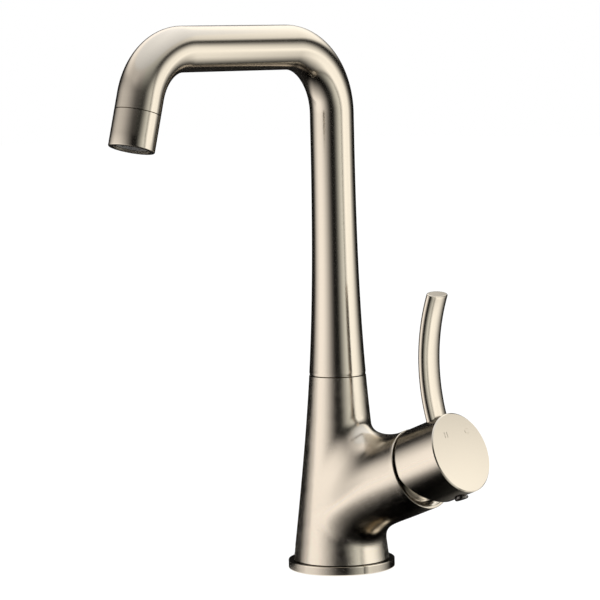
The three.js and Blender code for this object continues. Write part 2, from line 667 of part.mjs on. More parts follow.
function handleHub() {
  const inner = HUB_RADIUS - HUB_WALL;
  const edge = 0.3;
  const shell = turned([
    [0, HUB_BACK],
    [inner, HUB_BACK],
    [inner, HUB_REAR],
    [HUB_RADIUS - edge, HUB_REAR],
    [HUB_RADIUS, HUB_REAR + edge],
    [HUB_RADIUS, HUB_FACE - HUB_CHAMFER],
    [HUB_RADIUS - HUB_CHAMFER, HUB_FACE],
    [0, HUB_FACE],
  ]);
  const socketSide = STEM_SIDE + 2 * GAP;
  const bossRadius = socketSide * Math.SQRT1_2 + BOSS_WALL;
  const boss = disc(bossRadius, BOSS_REAR, HUB_BACK + 0.5, SMALL_ROUND);
  const rib = block(2 * inner + 0.6, RIB_WIDTH, HUB_BACK + 0.5 - BOSS_REAR, BOSS_REAR);
  const socket = block(socketSide, socketSide, STEM_TOP + GAP - BOSS_REAR + 1, BOSS_REAR - 1);
  const screwHole = alongX(SET_SCREW_RADIUS + GAP, STEM_SIDE / 2, HUB_RADIUS, LEVER_DEPTH);
  const plugEnd = HUB_RADIUS - PLUG_STEM_LENGTH - 1;
  const plugHole = alongX(PLUG_STEM_RADIUS + GAP, plugEnd, HUB_RADIUS + 1, LEVER_DEPTH);
  const spigotEnd = -HUB_RADIUS + LEVER_SPIGOT_LENGTH + GAP;
  const spigotHole = alongX(LEVER_SPIGOT_RADIUS + GAP, -HUB_RADIUS - 1, spigotEnd, LEVER_DEPTH);
  // The lower rear of the skirt is cut at the lift angle, so that it clears the rim when the lever is up.
  const reach = 2 * HUB_RADIUS;
  const clearance = new THREE.BoxGeometry(2 * reach, 2 * reach, reach)
    .translate(reach, 0, -reach / 2)
    .rotateY(-deg(LIFT_LIMIT))
    .translate(SKIRT_CUT_OFFSET, 0, HUB_REAR);
  return cut(join(shell, boss, rib), socket, screwHole, plugHole, spigotHole, clearance);
}

// The lever's arc lies in the XZ plane and crosses the hub's top. How far the arc's centre lies from it, at a
// height above that crossing:
const leverCentre = (rise) => Math.sqrt(LEVER_BEND_RADIUS ** 2 - (rise - LEVER_BEND_RISE) ** 2);

// A section of the lever, by its height above the crossing.
function leverStation(rise) {
  const foot = onBranch(LEVER_DEPTH, HUB_RADIUS);
  const out = LEVER_FOOT_OUT + leverCentre(0) - leverCentre(rise);
  return {
    at: new THREE.Vector3(foot.x + out, 0, foot.z + rise),
    way: new THREE.Vector3(rise - LEVER_BEND_RISE, 0, leverCentre(rise)).normalize(),
    radius: LEVER_RADIUS,
  };
}

function handleLever() {
  const sunk = 4; // below the hub's top, before the hub's shape is cut away
  const steps = 14;
  const stations = Array.from({ length: steps + 1 }, (_, i) =>
    leverStation(((LEVER_LENGTH - LEVER_ROUND + sunk) * i) / steps - sunk),
  );
  const end = stations[steps];
  for (const angle of [30, 60, 90].map(deg)) {
    stations.push({
      at: end.at.clone().addScaledVector(end.way, LEVER_ROUND * Math.sin(angle)),
      way: end.way,
      radius: end.radius - LEVER_ROUND * (1 - Math.cos(angle)),
    });
  }
  const bar = tubeSkin(stations, new THREE.Vector3(0, 1, 0), SMALL_ROUND);
  const hubClearance = inBranch(disc(HUB_RADIUS + GAP, 0, HUB_FACE + HUB_LENGTH));
  const spigot = rod(
    onBranch(LEVER_DEPTH, HUB_RADIUS - LEVER_SPIGOT_LENGTH),
    onBranch(LEVER_DEPTH, HUB_RADIUS + 3),
    LEVER_SPIGOT_RADIUS,
  );
  return join(cut(bar, hubClearance), spigot);
}

function handleSetScrew() {
  const from = STEM_SIDE / 2 + GAP;
  const to = from + SET_SCREW_LENGTH;
  const hexDepth = 3;
  const hexRadius = 1.4;
  const screw = disc(SET_SCREW_RADIUS, from, to, PIN_ROUND);
  const hex = disc(hexRadius, to - hexDepth, to + 1, HEX);
  return cut(screw, hex).rotateY(Math.PI / 2).translate(0, 0, LEVER_DEPTH);
}

function setScrewPlug() {
  const under = HUB_RADIUS + GAP;
  const bevel = 0.6;
  const outline = [
    [0, HUB_RADIUS - PLUG_STEM_LENGTH],
    [PLUG_STEM_RADIUS, HUB_RADIUS - PLUG_STEM_LENGTH],
    [PLUG_STEM_RADIUS, under],
    [PLUG_RADIUS, under],
    [PLUG_RADIUS, under + PLUG_CAP - bevel],
    [PLUG_RADIUS - bevel, under + PLUG_CAP],
    [0, under + PLUG_CAP],
  ];
  return turned(outline, SMALL_ROUND).rotateY(Math.PI / 2).translate(0, 0, LEVER_DEPTH);
}

// ---------------------------------------------------------------- the spout

const lean = deg(OUTLET_LEAN);
const flow = new THREE.Vector3(0, -Math.sin(lean), -Math.cos(lean));
const mouth = new THREE.Vector3(0, -OUTLET_REACH, BAR_HEIGHT - OUTLET_DROP);
const tubeEnd = mouth.clone().addScaledVector(flow, -(AERATOR_LENGTH + GAP));

// The stations of a bend in the YZ plane, about its centre, between two angles.
function bend(centreY, centreZ, radius, from, to, steps) {
  return Array.from({ length: steps + 1 }, (_, i) => {
    const a = deg(from + ((to - from) * i) / steps);
    return {
      at: new THREE.Vector3(0, centreY + radius * Math.cos(a), centreZ + radius * Math.sin(a)),
      way: new THREE.Vector3(0, -Math.sin(a), Math.cos(a)),
      radius: TUBE_RADIUS,
    };
  });
}

// The flared stations of the column's upper part.
function flare(bottom, steps) {
  return Array.from({ length: steps + 1 }, (_, i) => {
    const height = bottom + ((COLUMN_STRAIGHT_HEIGHT - bottom) * i) / steps;
    return {
      at: new THREE.Vector3(0, 0, height),
      way: new THREE.Vector3(0, 0, 1),
      radius: columnAt(height).radius,
    };
  });
}

// The tube after the flare: two bends, the bar between them, and the outlet.
function gooseneck() {
  const turnBy = 90 - OUTLET_LEAN;
  const corner = OUTLET_REACH - OUTLET_DROP * Math.tan(lean);
  const tangent = FRONT_BEND_RADIUS * Math.tan(deg(turnBy) / 2);
  return [
    ...bend(-REAR_BEND_RADIUS, BAR_HEIGHT - REAR_BEND_RADIUS, REAR_BEND_RADIUS, 0, 90, 7),
    ...bend(tangent - corner, BAR_HEIGHT - FRONT_BEND_RADIUS, FRONT_BEND_RADIUS, 90, 90 + turnBy, 6),
    { at: tubeEnd.clone(), way: flow.clone(), radius: TUBE_RADIUS },
  ];
}

function spoutTube() {
  const bottom = JOINT_HEIGHT + GAP;
  const across = new THREE.Vector3(1, 0, 0);
  const skin = [...flare(bottom, 7), ...gooseneck()];
  skin[0].radius -= SEAM_STEP;
  const bore = [
    { at: new THREE.Vector3(0, 0, bottom - 1), way: new THREE.Vector3(0, 0, 1) },
    ...gooseneck(),
  ];
  bore[bore.length - 1].at.addScaledVector(flow, 1);
  for (const station of bore) station.radius = TUBE_BORE;
  return cut(tubeSkin(skin, across, ROUND), tubeSkin(bore, across, SMALL_ROUND));
}

function spoutShank() {
  const collar = TUBE_BORE - GAP;
  const chamfer = 0.8;
  const coneBottom = JOINT_HEIGHT - 1;
  const groove = (height, half, depth) =>
    ring(SHANK_RADIUS - depth, SHANK_RADIUS + 2, height - half, height + half, SMALL_ROUND);
  const outline = [
    [SHANK_BORE, SHANK_BOTTOM],
    [SHANK_RADIUS - chamfer, SHANK_BOTTOM],
    [SHANK_RADIUS, SHANK_BOTTOM + chamfer],
    [SHANK_RADIUS, coneBottom],
    [collar, coneBottom + SHANK_RADIUS - collar],
    [collar, JOINT_HEIGHT + COLLAR_LENGTH],
    [SHANK_BORE, JOINT_HEIGHT + COLLAR_LENGTH],
  ];
  const ringHalf = RING_HEIGHT / 2 + GAP;
  return cut(
    turned(outline, SMALL_ROUND),
    ...[LOWER_RING, UPPER_RING].map((z) => groove(z + RING_HEIGHT / 2, ringHalf, RING_DEPTH + GAP)),
    ...O_RINGS.map((z) => groove(z, O_RING_SECTION + GAP, 2 * O_RING_SECTION + GAP)),
    groove(LOCK_HEIGHT, LOCK_SCREW_RADIUS + GAP + 0.1, LOCK_GROOVE_DEPTH),
  );
}

// A split band round the shank.
function glideRing(bottom) {
  const band = ring(SHANK_RADIUS - RING_DEPTH, SHANK_RADIUS, bottom, bottom + RING_HEIGHT, SMALL_ROUND);
  const split = block(4, 1.2, RING_HEIGHT + 2, bottom - 1).translate(SHANK_RADIUS, 0, 0);
  return cut(band, split);
}

function oRing(height) {
  const middle = SHANK_RADIUS - O_RING_SECTION;
  return new THREE.TorusGeometry(middle, O_RING_SECTION, HEX, SMALL_ROUND).translate(0, 0, height);
}

function spoutLockScrew() {
  const tip = SHANK_RADIUS - LOCK_GROOVE_DEPTH + 0.5;
  const head = columnAt(LOCK_HEIGHT).radius - 1;
  const hexDepth = 2;
  const hexRadius = 1.1;
  const screw = disc(LOCK_SCREW_RADIUS, tip, head, PIN_ROUND);
  const hex = disc(hexRadius, head - hexDepth, head + 1, HEX);
  return cut(screw, hex).rotateX(-Math.PI / 2).translate(0, 0, LOCK_HEIGHT);
}

// The aerator's own group has its origin at the mouth and +Z up into the tube.
function outletGroup() {
  const group = new THREE.Group();
  group.position.copy(mouth);
  group.rotation.x = -lean;
  return group;
}

const CORE_TOP = CORE_RECESS + CORE_LENGTH;

function aeratorHousing() {
  const inner = CORE_RADIUS + GAP;
  const lip = CORE_RADIUS - LIP_WIDTH;
  const thread = TUBE_BORE - 1.4 * GAP;
  const throat = thread - 1.2;
  const bevel = 0.5;
  const ceiling = CORE_TOP + WASHER_THICKNESS + 2;
  return turned([
    [lip, 0],
    [TUBE_RADIUS - bevel, 0],
    [TUBE_RADIUS, bevel],
    [TUBE_RADIUS, AERATOR_LENGTH],
    [thread, AERATOR_LENGTH],
    [thread, AERATOR_LENGTH + AERATOR_THREAD],
    [throat, AERATOR_LENGTH + AERATOR_THREAD],
    [throat, ceiling],
    [inner, ceiling],
    [inner, CORE_RECESS - GAP],
    [lip, CORE_RECESS - GAP],
  ]);
}

// A hexagonal pattern of places within a radius.
function honeycomb(pitch, radius) {
  const places = [];
  const reach = Math.ceil(radius / pitch);
  for (let i = -reach; i <= reach; i++) {
    for (let j = -reach; j <= reach; j++) {
      const x = pitch * (i + j / 2);
      const y = pitch * j * Math.sqrt(3 / 4);
      if (Math.hypot(x, y) <= radius) places.push([x, y]);
    }
  }
  return places;
}

function aeratorCore() {
  const top = CORE_RECESS + CORE_FLOOR;
  const inner = CORE_RADIUS - CORE_WALL;
  const outline = [
    [0, CORE_RECESS],
    [CORE_RADIUS, CORE_RECESS],
    [CORE_RADIUS, CORE_TOP],
    [inner, CORE_TOP],
    [inner, top],
    [0, top],
  ];
  const cellRadius = (CORE_CELL_PITCH - CORE_CELL_WEB) / 2;
  const cells = honeycomb(CORE_CELL_PITCH, inner - cellRadius).map(([x, y]) =>
    disc(cellRadius, CORE_RECESS - 1, top + 1, HEX).rotateZ(Math.PI / 6).translate(x, y, 0),
  );
  return cut(turned(outline, SMALL_ROUND), ...cells);
}

function aeratorScreen() {
  const bottom = CORE_RECESS + CORE_FLOOR + GAP;
  const rim = CORE_RADIUS - CORE_WALL - GAP;
  const pitch = 4.6;
  const holeRadius = 1.7;
  const holes = honeycomb(pitch, rim - holeRadius - 0.9).map(([x, y]) =>
    disc(holeRadius, bottom - 1, bottom + 2, HEX).translate(x, y, 0),
  );
  return cut(disc(rim, bottom, bottom + SCREEN_THICKNESS, SMALL_ROUND), ...holes);
}

function aeratorWasher() {
  const width = 3.7;
  const bottom = CORE_TOP + GAP;
  return ring(CORE_RADIUS - width, CORE_RADIUS, bottom, bottom + WASHER_THICKNESS - GAP, SMALL_ROUND);
}

// ---------------------------------------------------------------- the assembly

const faucet = new THREE.Group();

faucet.add(piece("body_casting", bodyCasting(), nickel));
faucet.add(piece("base_flange", baseFlange(), nickel));
faucet.add(piece("base_gasket", baseGasket(), rubber));
faucet.add(piece("spout_lock_screw", spoutLockScrew(), steel));

const branch = branchGroup();
branch.add(piece("cartridge_housing", cartridgeHousing(), plastic));
branch.add(piece("cartridge_base", cartridgeBase(), plastic));
for (const [name, x, y] of ports) branch.add(piece("port_seal_" + name, portSeal(x, y), rubber));
branch.add(piece("fixed_ceramic_disc", fixedDisc(), ceramic));
branch.add(piece("moving_ceramic_disc", movingDisc(), ceramic));
branch.add(piece("disc_slider", discSlider(), plastic));
branch.add(piece("disc_carrier", discCarrier(), plastic));
branch.add(piece("stem_pin", stemPin(), steel));
branch.add(piece("retaining_nut", retainingNut(), brass));
branch.add(piece("bonnet_ring", bonnetRing(), brightNickel));
branch.add(piece("stem", stem(), brass));
branch.add(piece("handle_hub", handleHub(), nickel));
branch.add(piece("handle_set_screw", handleSetScrew(), steel));
branch.add(piece("set_screw_plug", setScrewPlug(), nickel));
faucet.add(branch);
faucet.add(piece("handle_lever", handleLever(), nickel));

faucet.add(piece("spout_tube", spoutTube(), nickel));
faucet.add(piece("spout_shank", spoutShank(), brass));
faucet.add(piece("lower_glide_ring", glideRing(LOWER_RING), plastic));
faucet.add(piece("upper_glide_ring", glideRing(UPPER_RING), plastic));
faucet.add(piece("lower_o_ring", oRing(O_RINGS[0]), rubber));
faucet.add(piece("upper_o_ring", oRing(O_RINGS[1]), rubber));

const outlet = outletGroup();
outlet.add(piece("aerator_housing", aeratorHousing(), nickel));
outlet.add(piece("aerator_core", aeratorCore(), plastic));
outlet.add(piece("aerator_screen", aeratorScreen(), steel));
outlet.add(piece("aerator_washer", aeratorWasher(), rubber));
faucet.add(outlet);

export default faucet;
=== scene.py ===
"""Gooseneck bar faucet: the visible pieces, their finishes and the studio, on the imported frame."""

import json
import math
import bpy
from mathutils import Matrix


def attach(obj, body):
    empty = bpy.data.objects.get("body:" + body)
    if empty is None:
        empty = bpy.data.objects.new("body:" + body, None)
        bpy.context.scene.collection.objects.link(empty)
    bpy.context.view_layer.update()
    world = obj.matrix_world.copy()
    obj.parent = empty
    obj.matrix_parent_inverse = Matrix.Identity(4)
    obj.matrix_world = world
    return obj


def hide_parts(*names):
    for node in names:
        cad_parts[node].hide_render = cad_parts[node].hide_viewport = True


bl_info = {
    "name": "Gooseneck Bar Faucet",
    "version": (1, 0, 0),
    "blender": (4, 5, 0),
    "location": "View3D > Sidebar > Faucet",
    "description": "Builds a gooseneck bar faucet piece by piece",
    "category": "Add Mesh",
}

import bmesh
import bpy
from bpy.props import FloatProperty, FloatVectorProperty, IntProperty, PointerProperty
from mathutils import Matrix, Vector

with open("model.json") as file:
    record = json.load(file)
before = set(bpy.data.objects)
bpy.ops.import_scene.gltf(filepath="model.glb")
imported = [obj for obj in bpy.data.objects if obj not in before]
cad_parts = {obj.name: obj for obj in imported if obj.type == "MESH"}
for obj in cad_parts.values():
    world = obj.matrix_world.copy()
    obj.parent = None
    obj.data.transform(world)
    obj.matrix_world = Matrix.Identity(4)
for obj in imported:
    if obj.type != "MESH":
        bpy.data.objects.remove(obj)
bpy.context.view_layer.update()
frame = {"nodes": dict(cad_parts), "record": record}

X, Y, Z = Vector((1, 0, 0)), Vector((0, 1, 0)), Vector((0, 0, 1))
# Kept between pieces that only touch, as in the frame.
GAP = 0.0003
# Points nearer than WELD become one, edges shorter than SPECK go, and edges sharper than SHARP stay sharp.
WELD, SPECK = 2e-6, 1e-7
SHARP = math.radians(30)
# How far a cutter runs out past the face that it cuts.
OVERRUN = 0.001
METAL, NOT_METAL = 1, 0


# ---------------------------------------------------------------- sizes and colours


def length(name, description, default):
    return FloatProperty(name=name, description=description, default=default, unit="LENGTH", precision=5)


def degrees(name, description, default):
    return FloatProperty(name=name, description=description, default=math.radians(default), subtype="ANGLE")


def colour(name, description, default):
    return FloatVectorProperty(
        name=name, description=description, default=default, subtype="COLOR", min=0, max=1
    )


def share(name, description, default):
    return FloatProperty(name=name, description=description, default=default, subtype="FACTOR", min=0, max=1)


class FaucetBodySizes(bpy.types.PropertyGroup):
    foot_radius: length("Foot radius", "The column where it meets the flange", 0.0264)
    flange_radius: length("Flange radius", "Round plate on the deck", 0.0294)
    flange_height: length("Flange height", "Deck to the top of the flange", 0.005)
    pull_radius: length("Pull radius", "Where the foot's curve heads for", 0.016)
    pull_height: length("Pull height", "How high the foot's curve heads", 0.0906)
    neck_height: length("Neck height", "The column is nearly upright from here", 0.1267)
    seam_height: length("Seam height", "Joint between the body and the spout", 0.1067)
    branch_height: length("Branch height", "Where the branch's axis crosses the column's", 0.036)
    branch_rise: degrees("Branch rise", "Tilt of the branch above the horizontal", 21.9)
    branch_radius: length("Branch radius", "Outside of the branch's round part", 0.0224)
    branch_length: length("Branch length", "Column axis to the rim", 0.0632)
    branch_straight: length("Branch straight", "Round part behind the rim", 0.0162)
    top_straight: length("Top straight", "Round part behind the rim, on top", 0.0035)
    blend_top: length("Blend top", "Reach of the fillet above the crossing", 0.05)
    blend_bottom: length("Blend bottom", "Reach of the fillet below the crossing", 0.024)
    blend_side: degrees("Blend side", "Reach of the fillet round the column", 88)
    mouth_radius: length("Mouth radius", "Recess that holds the bonnet ring", 0.021)


class FaucetSpoutSizes(bpy.types.PropertyGroup):
    tube_radius: length("Tube radius", "Outside of the spout's tube", 0.012)
    tube_wall: length("Tube wall", "Thickness of the spout's tube", 0.0012)
    straight_height: length("Straight height", "The tube has one diameter from here on", 0.241)
    bar_height: length("Bar height", "Deck to the axis of the horizontal bar", 0.287)
    rear_bend: length("Rear bend", "Radius of the bend over the column", 0.0365)
    front_bend: length("Front bend", "Radius of the bend over the outlet", 0.032)
    outlet_reach: length("Outlet reach", "Column axis to the centre of the mouth", 0.1535)
    outlet_drop: length("Outlet drop", "Bar axis to the mouth", 0.05)
    outlet_lean: degrees("Outlet lean", "How far the outlet leans outward", 15.7)
    sleeve_length: length("Sleeve length", "Aerator housing, mouth to seam", 0.019)


class FaucetHandleSizes(bpy.types.PropertyGroup):
    hub_radius: length("Hub radius", "Outside of the handle's drum", 0.022)
    hub_rear: length("Hub rear", "Column axis to the skirt's edge", 0.0648)
    hub_face: length("Hub face", "Column axis to the hub's flat face", 0.0931)
    hub_wall: length("Hub wall", "Thickness of the skirt", 0.0016)
    face_thickness: length("Face thickness", "Thickness of the hub's face", 0.003)
    face_chamfer: length("Face chamfer", "Bevel round the face", 0.0006)
    skirt_cut: length("Skirt cut", "Where the slanted cut starts, under the axis", 0.0025)
    skirt_rise: length("Skirt rise", "How far the skirt is cut back under the axis", 0.0091)
    skirt_curve: FloatProperty(
        name="Skirt curve", description="1 is a straight cut, more is fuller", default=1.35
    )
    mark_height: length("Mark height", "Height of the engraved H and C", 0.0032)
    mark_stroke: length("Mark stroke", "Width of their strokes", 0.0004)
    mark_depth: length("Mark depth", "Depth of the engraving", 0.00012)
    mark_up: length("Mark up", "How far they stand above the branch's axis", 0.01066)
    mark_left: length("Mark left", "How far the H stands from the middle", 0.00785)
    mark_right: length("Mark right", "How far the C stands from the middle", 0.00958)
    lever_depth: length("Lever depth", "Column axis to the lever's foot, along the branch", 0.0835)
    lever_length: length("Lever length", "Upright, from the hub's top to the tip", 0.067)
    lever_width: length("Lever width", "Half the oval section, across the branch", 0.0077)
    lever_thickness: length("Lever thickness", "Half the oval section, along the branch", 0.00385)
    lever_bend: length("Lever bend", "Radius of the lever's curve", 0.1036)
    lever_bend_rise: length("Lever bend rise", "Where the curve is upright", 0.0304)
    lever_foot_out: length("Lever foot", "Shift of the foot towards the face", 0.00055)
    lever_round: length("Lever round", "Edge round of the tip", 0.0007)
    plug_radius: length("Plug radius", "Button over the set screw", 0.0037)
    plug_cap: length("Plug cap", "How far the button stands out", 0.0013)


class FaucetFinish(bpy.types.PropertyGroup):
    nickel: colour("Satin nickel", "Colour of the brushed and the cast pieces", (0.8, 0.722, 0.605))
    bright_nickel: colour("Bright nickel", "Colour of the polished ring", (0.82, 0.76, 0.67))
    # The plug over the set screw is given a darker colour than the other nickel pieces.
    darker_plug_colour: colour("Darker plug colour", "Colour of the plug over the set screw", (0.16, 0.15, 0.14))
    brass: colour("Brass", "Colour of the machined inner pieces", (0.68, 0.49, 0.21))
    steel: colour("Steel", "Colour of the screws, pin and screen", (0.56, 0.565, 0.57))
    ceramic: colour("Ceramic", "Colour of the lapped discs", (0.82, 0.8, 0.75))
    plastic: colour("Plastic", "Colour of the moulded pieces", (0.115, 0.112, 0.108))
    rubber: colour("Rubber", "Colour of the seals", (0.022, 0.022, 0.023))
    tube_gloss: share("Tube roughness", "Roughness of the spout and the handle", 0.17)
    body_gloss: share("Body roughness", "Roughness of the casting", 0.21)
    grain: share("Grain", "Strength of the brushing", 0.35)


class FaucetStudio(bpy.types.PropertyGroup):
    lens: FloatProperty(name="Lens", description="Focal length", default=160.17, unit="CAMERA")
    sensor: FloatProperty(name="Sensor", description="Width of the sensor", default=36, unit="CAMERA")
    camera_place: FloatVectorProperty(
        name="Camera place",
        description="Where the photo was taken from",
        default=(0.96612, -1.09696, 0.28124),
        subtype="TRANSLATION",
        precision=5,
    )
    camera_heading: degrees("Camera heading", "Turn about the upright", 42.14507)
    camera_tilt: degrees("Camera tilt", "Turn up from straight down", 84.81453)
    camera_roll: degrees("Camera roll", "Turn about the line of sight", -1.34198)
    tent_radius: length("Tent radius", "Column axis to the light panels", 0.55)
    tent_height: length("Tent height", "Top of the light panels", 0.8)
    panel_level: FloatProperty(name="Panel level", description="Brightness of the light panels", default=1.18)
    floor_size: length("Floor size", "Side of the floor", 12.0)
    rounds: IntProperty(name="Rounds", description="Sides of a round piece", default=128, min=16)


def sizes(group):
    """One of the scene's groups of sizes, by its short name."""
    return getattr(bpy.context.scene, "faucet_" + group)


# ---------------------------------------------------------------- mesh code


def grid_mesh(name, grid, closed=False):
    """A skin over rows of points. Every row runs round, and closed joins the last row to the first. Its map
    "grain" holds metres round and metres along."""
    count = len(grid[0])
    rows = len(grid)
    along = [0.0]
    for a, b in zip(grid, grid[1:] + grid[:1]):
        along.append(along[-1] + max((a[j] - b[j]).length for j in (0, count // 4, count // 2)))
    width = max(sum((row[j] - row[j - 1]).length for j in range(count)) for row in grid)
    points = [tuple(p) for row in grid for p in row]
    faces = []
    places = []
    for i in range(rows if closed else rows - 1):
        for j in range(count):
            k = (j + 1) % count
            n = (i + 1) % rows
            faces.append((i * count + j, i * count + k, n * count + k, n * count + j))
            left, right = width * j / count, width * (j + 1) / count
            low, high = along[i], along[i + 1]
            places += [(left, low), (right, low), (right, high), (left, high)]
    mesh = bpy.data.meshes.new(name)
    mesh.from_pydata(points, [], faces)
    layer = mesh.uv_layers.new(name="grain")
    for spot, place in zip(layer.uv, places):
        spot.vector = place
    tidy(mesh)
    return mesh


def tidy(mesh):
    """Welds the mesh, turns it to face out and marks its edges."""
    bm = bmesh.new()
    bm.from_mesh(mesh)
    bmesh.ops.remove_doubles(bm, verts=bm.verts, dist=WELD)
    bmesh.ops.dissolve_degenerate(bm, edges=bm.edges, dist=SPECK)
    bmesh.ops.recalc_face_normals(bm, faces=bm.faces)
    for face in bm.faces:
        face.smooth = True
    for edge in bm.edges:
        edge.smooth = len(edge.link_faces) == 2 and edge.calc_face_angle(0) < SHARP
    bm.to_mesh(mesh)
    bm.free()


def close_ends(mesh):
    """Fills the open rims of a mesh with flat faces."""
    bm = bmesh.new()
    bm.from_mesh(mesh)
    bmesh.ops.holes_fill(bm, edges=[e for e in bm.edges if e.is_boundary], sides=0)
    bm.to_mesh(mesh)
    bm.free()
    tidy(mesh)


def all_round(rounds):
    """Angles all round, at even steps."""
    return [2 * math.pi * j / rounds for j in range(rounds)]


def turned(name, outline, place=None, rounds=None, closed=True):
    """A turned piece about its own Z from an outline of (radius, height)."""
    turns = all_round(rounds or sizes("studio").rounds)
    place = place or Matrix()
    grid = [[place @ Vector((r * math.cos(a), r * math.sin(a), z)) for a in turns] for r, z in outline]
    return grid_mesh(name, grid, closed)


def rod_mesh(start, end, radius, rounds=48):
    """A plain round bar between two points, for cutting and joining."""
    way = end - start
    place = Matrix.Translation(start) @ way.to_track_quat("Z", "Y").to_matrix().to_4x4()
    span = way.length
    return turned("rod", [(0, 0), (radius, 0), (radius, span), (0, span)], place, rounds, closed=False)


def block_mesh(place, low, high):
    """A plain block in a place, for cutting and joining."""
    mesh = bpy.data.meshes.new("block")
    bm = bmesh.new()
    bmesh.ops.create_cube(bm, size=1)
    for v in bm.verts:
        v.co = place @ Vector([low[i] + (v.co[i] + 0.5) * (high[i] - low[i]) for i in range(3)])
    bm.to_mesh(mesh)
    bm.free()
    return mesh


def arc_mesh(place, inner, outer, low, high, start, end, steps=28):
    """A curved bar about a place's Z, between two angles from its Y, for cutting and joining."""
    corners = ((inner, low), (outer, low), (outer, high), (inner, high))
    grid = []
    for i in range(steps + 1):
        a = math.radians(start + (end - start) * i / steps)
        across = Vector((-math.sin(a), math.cos(a), 0))
        grid.append([place @ (across * r + Z * z) for r, z in corners])
    mesh = grid_mesh("arc", grid)
    close_ends(mesh)
    return mesh


def combined(mesh, others, operation):
    """The mesh with the others joined to it or cut from it."""
    base = bpy.data.objects.new("base", mesh)
    bpy.context.collection.objects.link(base)
    kept = bpy.data.collections.new("tools")
    tools = [bpy.data.objects.new("tool", other) for other in others]
    for tool in tools:
        kept.objects.link(tool)
    bpy.context.scene.collection.children.link(kept)
    modifier = base.modifiers.new("shape", "BOOLEAN")
    modifier.operation = operation
    modifier.solver = "EXACT"
    modifier.operand_type = "COLLECTION"
    modifier.collection = kept
    graph = bpy.context.evaluated_depsgraph_get()
    made = bpy.data.meshes.new_from_object(base.evaluated_get(graph), depsgraph=graph)
    for o in [base, *tools]:
        bpy.data.objects.remove(o)
    bpy.data.collections.remove(kept)
    if not made.polygons:
        raise RuntimeError("a cut or a join left nothing of " + mesh.name)
    made.name = mesh.name
    return made


def place_piece(node, mesh, body, material):
    """Shows a mesh as the fine piece that rides on a body and stands for a node."""
    mesh.materials.clear()
    mesh.materials.append(MATERIALS[material])
    piece = bpy.data.objects.new(node + "_fine", mesh)
    bpy.context.collection.objects.link(piece)
    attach(piece, body)
    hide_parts(node)


# ---------------------------------------------------------------- the faucet's shared curves


def bezier(points, t):
    """The place at a share t of the curve over four points."""
    a, b, c, d = points
    s = 1 - t
    return a * s**3 + b * (3 * s * s * t) + c * (3 * s * t * t) + d * t**3


def halved(low, high, times, is_low):
    """What is left between low and high, after halving it so many times towards where is_low changes."""
    for _ in range(times):
        middle = (low + high) / 2
        if is_low(middle):
            low = middle
        else:
            high = middle
    return low, high


def column_at(height):
    """The column's radius and its slope at a height."""
    body, spout = sizes("body"), sizes("spout")
    if height >= spout.straight_height:
        return spout.tube_radius, 0.0
    points = [
        Vector((body.foot_radius, body.flange_height)),
        Vector((body.pull_radius, body.pull_height)),
        Vector((spout.tube_radius, body.neck_height)),
        Vector((spout.tube_radius, spout.straight_height)),
    ]
    at = halved(0.0, 1.0, 40, lambda t: bezier(points, t).y < height)[0]
    near = 1e-4
    step = bezier(points, at + near) - bezier(points, at - near)
    return bezier(points, at).x, step.x / step.y


def branch_place():
    """The branch's own frame: Z runs out along it, and X points down under it."""
    body = sizes("body")
    turn = Matrix.Rotation(math.pi / 2 - body.branch_rise, 4, "Y")
    return Matrix.Translation((0, 0, body.branch_height)) @ turn


def on_branch(depth, up=0.0, y=0.0):
    """A place out along the branch, and so far over its axis and beside it."""
    return branch_place() @ Vector((-up, y, depth))


def blend_line(angle, steps):
    """One line of the body's skin: back along the branch, down the fillet and on over the column's skin."""
    body = sizes("body")
    across, over = math.sin(angle), math.cos(angle)
    radius, rim = body.branch_radius, body.branch_length
    lip, bevel = 0.003, 0.0005
    on_top = max(0.0, over) ** 4
    straight = body.branch_straight + (body.top_straight - body.branch_straight) * on_top
    blend_start = rim - straight
    along = branch_place().to_3x3() @ Z
    line = [on_branch(rim, r * over, r * across) for r in (radius - lip, radius - bevel)]
    for turn in (30, 60):
        out = bevel * (1 - math.sin(math.radians(turn)))
        back = bevel * (1 - math.cos(math.radians(turn)))
        line.append(on_branch(rim - back, (radius - out) * over, (radius - out) * across))
    straight_steps = 6
    for i in range(straight_steps):
        depth = rim - bevel - (rim - bevel - blend_start) * i / straight_steps
        line.append(on_branch(depth, radius * over, radius * across))
    start = on_branch(blend_start, radius * over, radius * across)
    climb = (body.blend_top if over > 0 else body.blend_bottom) * over
    turn = body.blend_side * across
    foot, slope = column_at(body.branch_height + climb)
    outward = Vector((math.cos(turn), math.sin(turn), 0))
    round_way = Vector((-math.sin(turn), math.cos(turn), 0))
    upward = (outward * slope + Z).normalized()
    end = outward * foot + Z * (body.branch_height + climb)
    landing = (round_way * foot * turn + upward * climb).normalized()
    reach = (start - end).length
    # How far the fillet holds on to the branch's way and to the column's, as a share of its reach.
    leave, land = 0.5 - 0.1 * on_top, 0.35 + 0.02 * on_top
    curve = [start, start - along * (leave * reach), end - landing * (land * reach), end]
    line += [bezier(curve, i / steps) for i in range(steps)]
    # On over the column, straight away from the crossing of the axes, to the back, the seam or the flange.
    nothing = 1e-9
    limits = []
    if abs(turn) > nothing:
        limits.append(math.pi / abs(turn))
    if climb > nothing:
        limits.append((body.seam_height - body.branch_height) / climb)
    if climb < -nothing:
        limits.append((body.branch_height - body.flange_height) / -climb)
    far = min(limits)
    for i in range(steps + 1):
        scale = 1 + (far - 1) * i / steps
        a = turn * scale
        height = body.branch_height + climb * scale
        r = column_at(height)[0]
        line.append(Vector((r * math.cos(a), r * math.sin(a), height)))
    return line


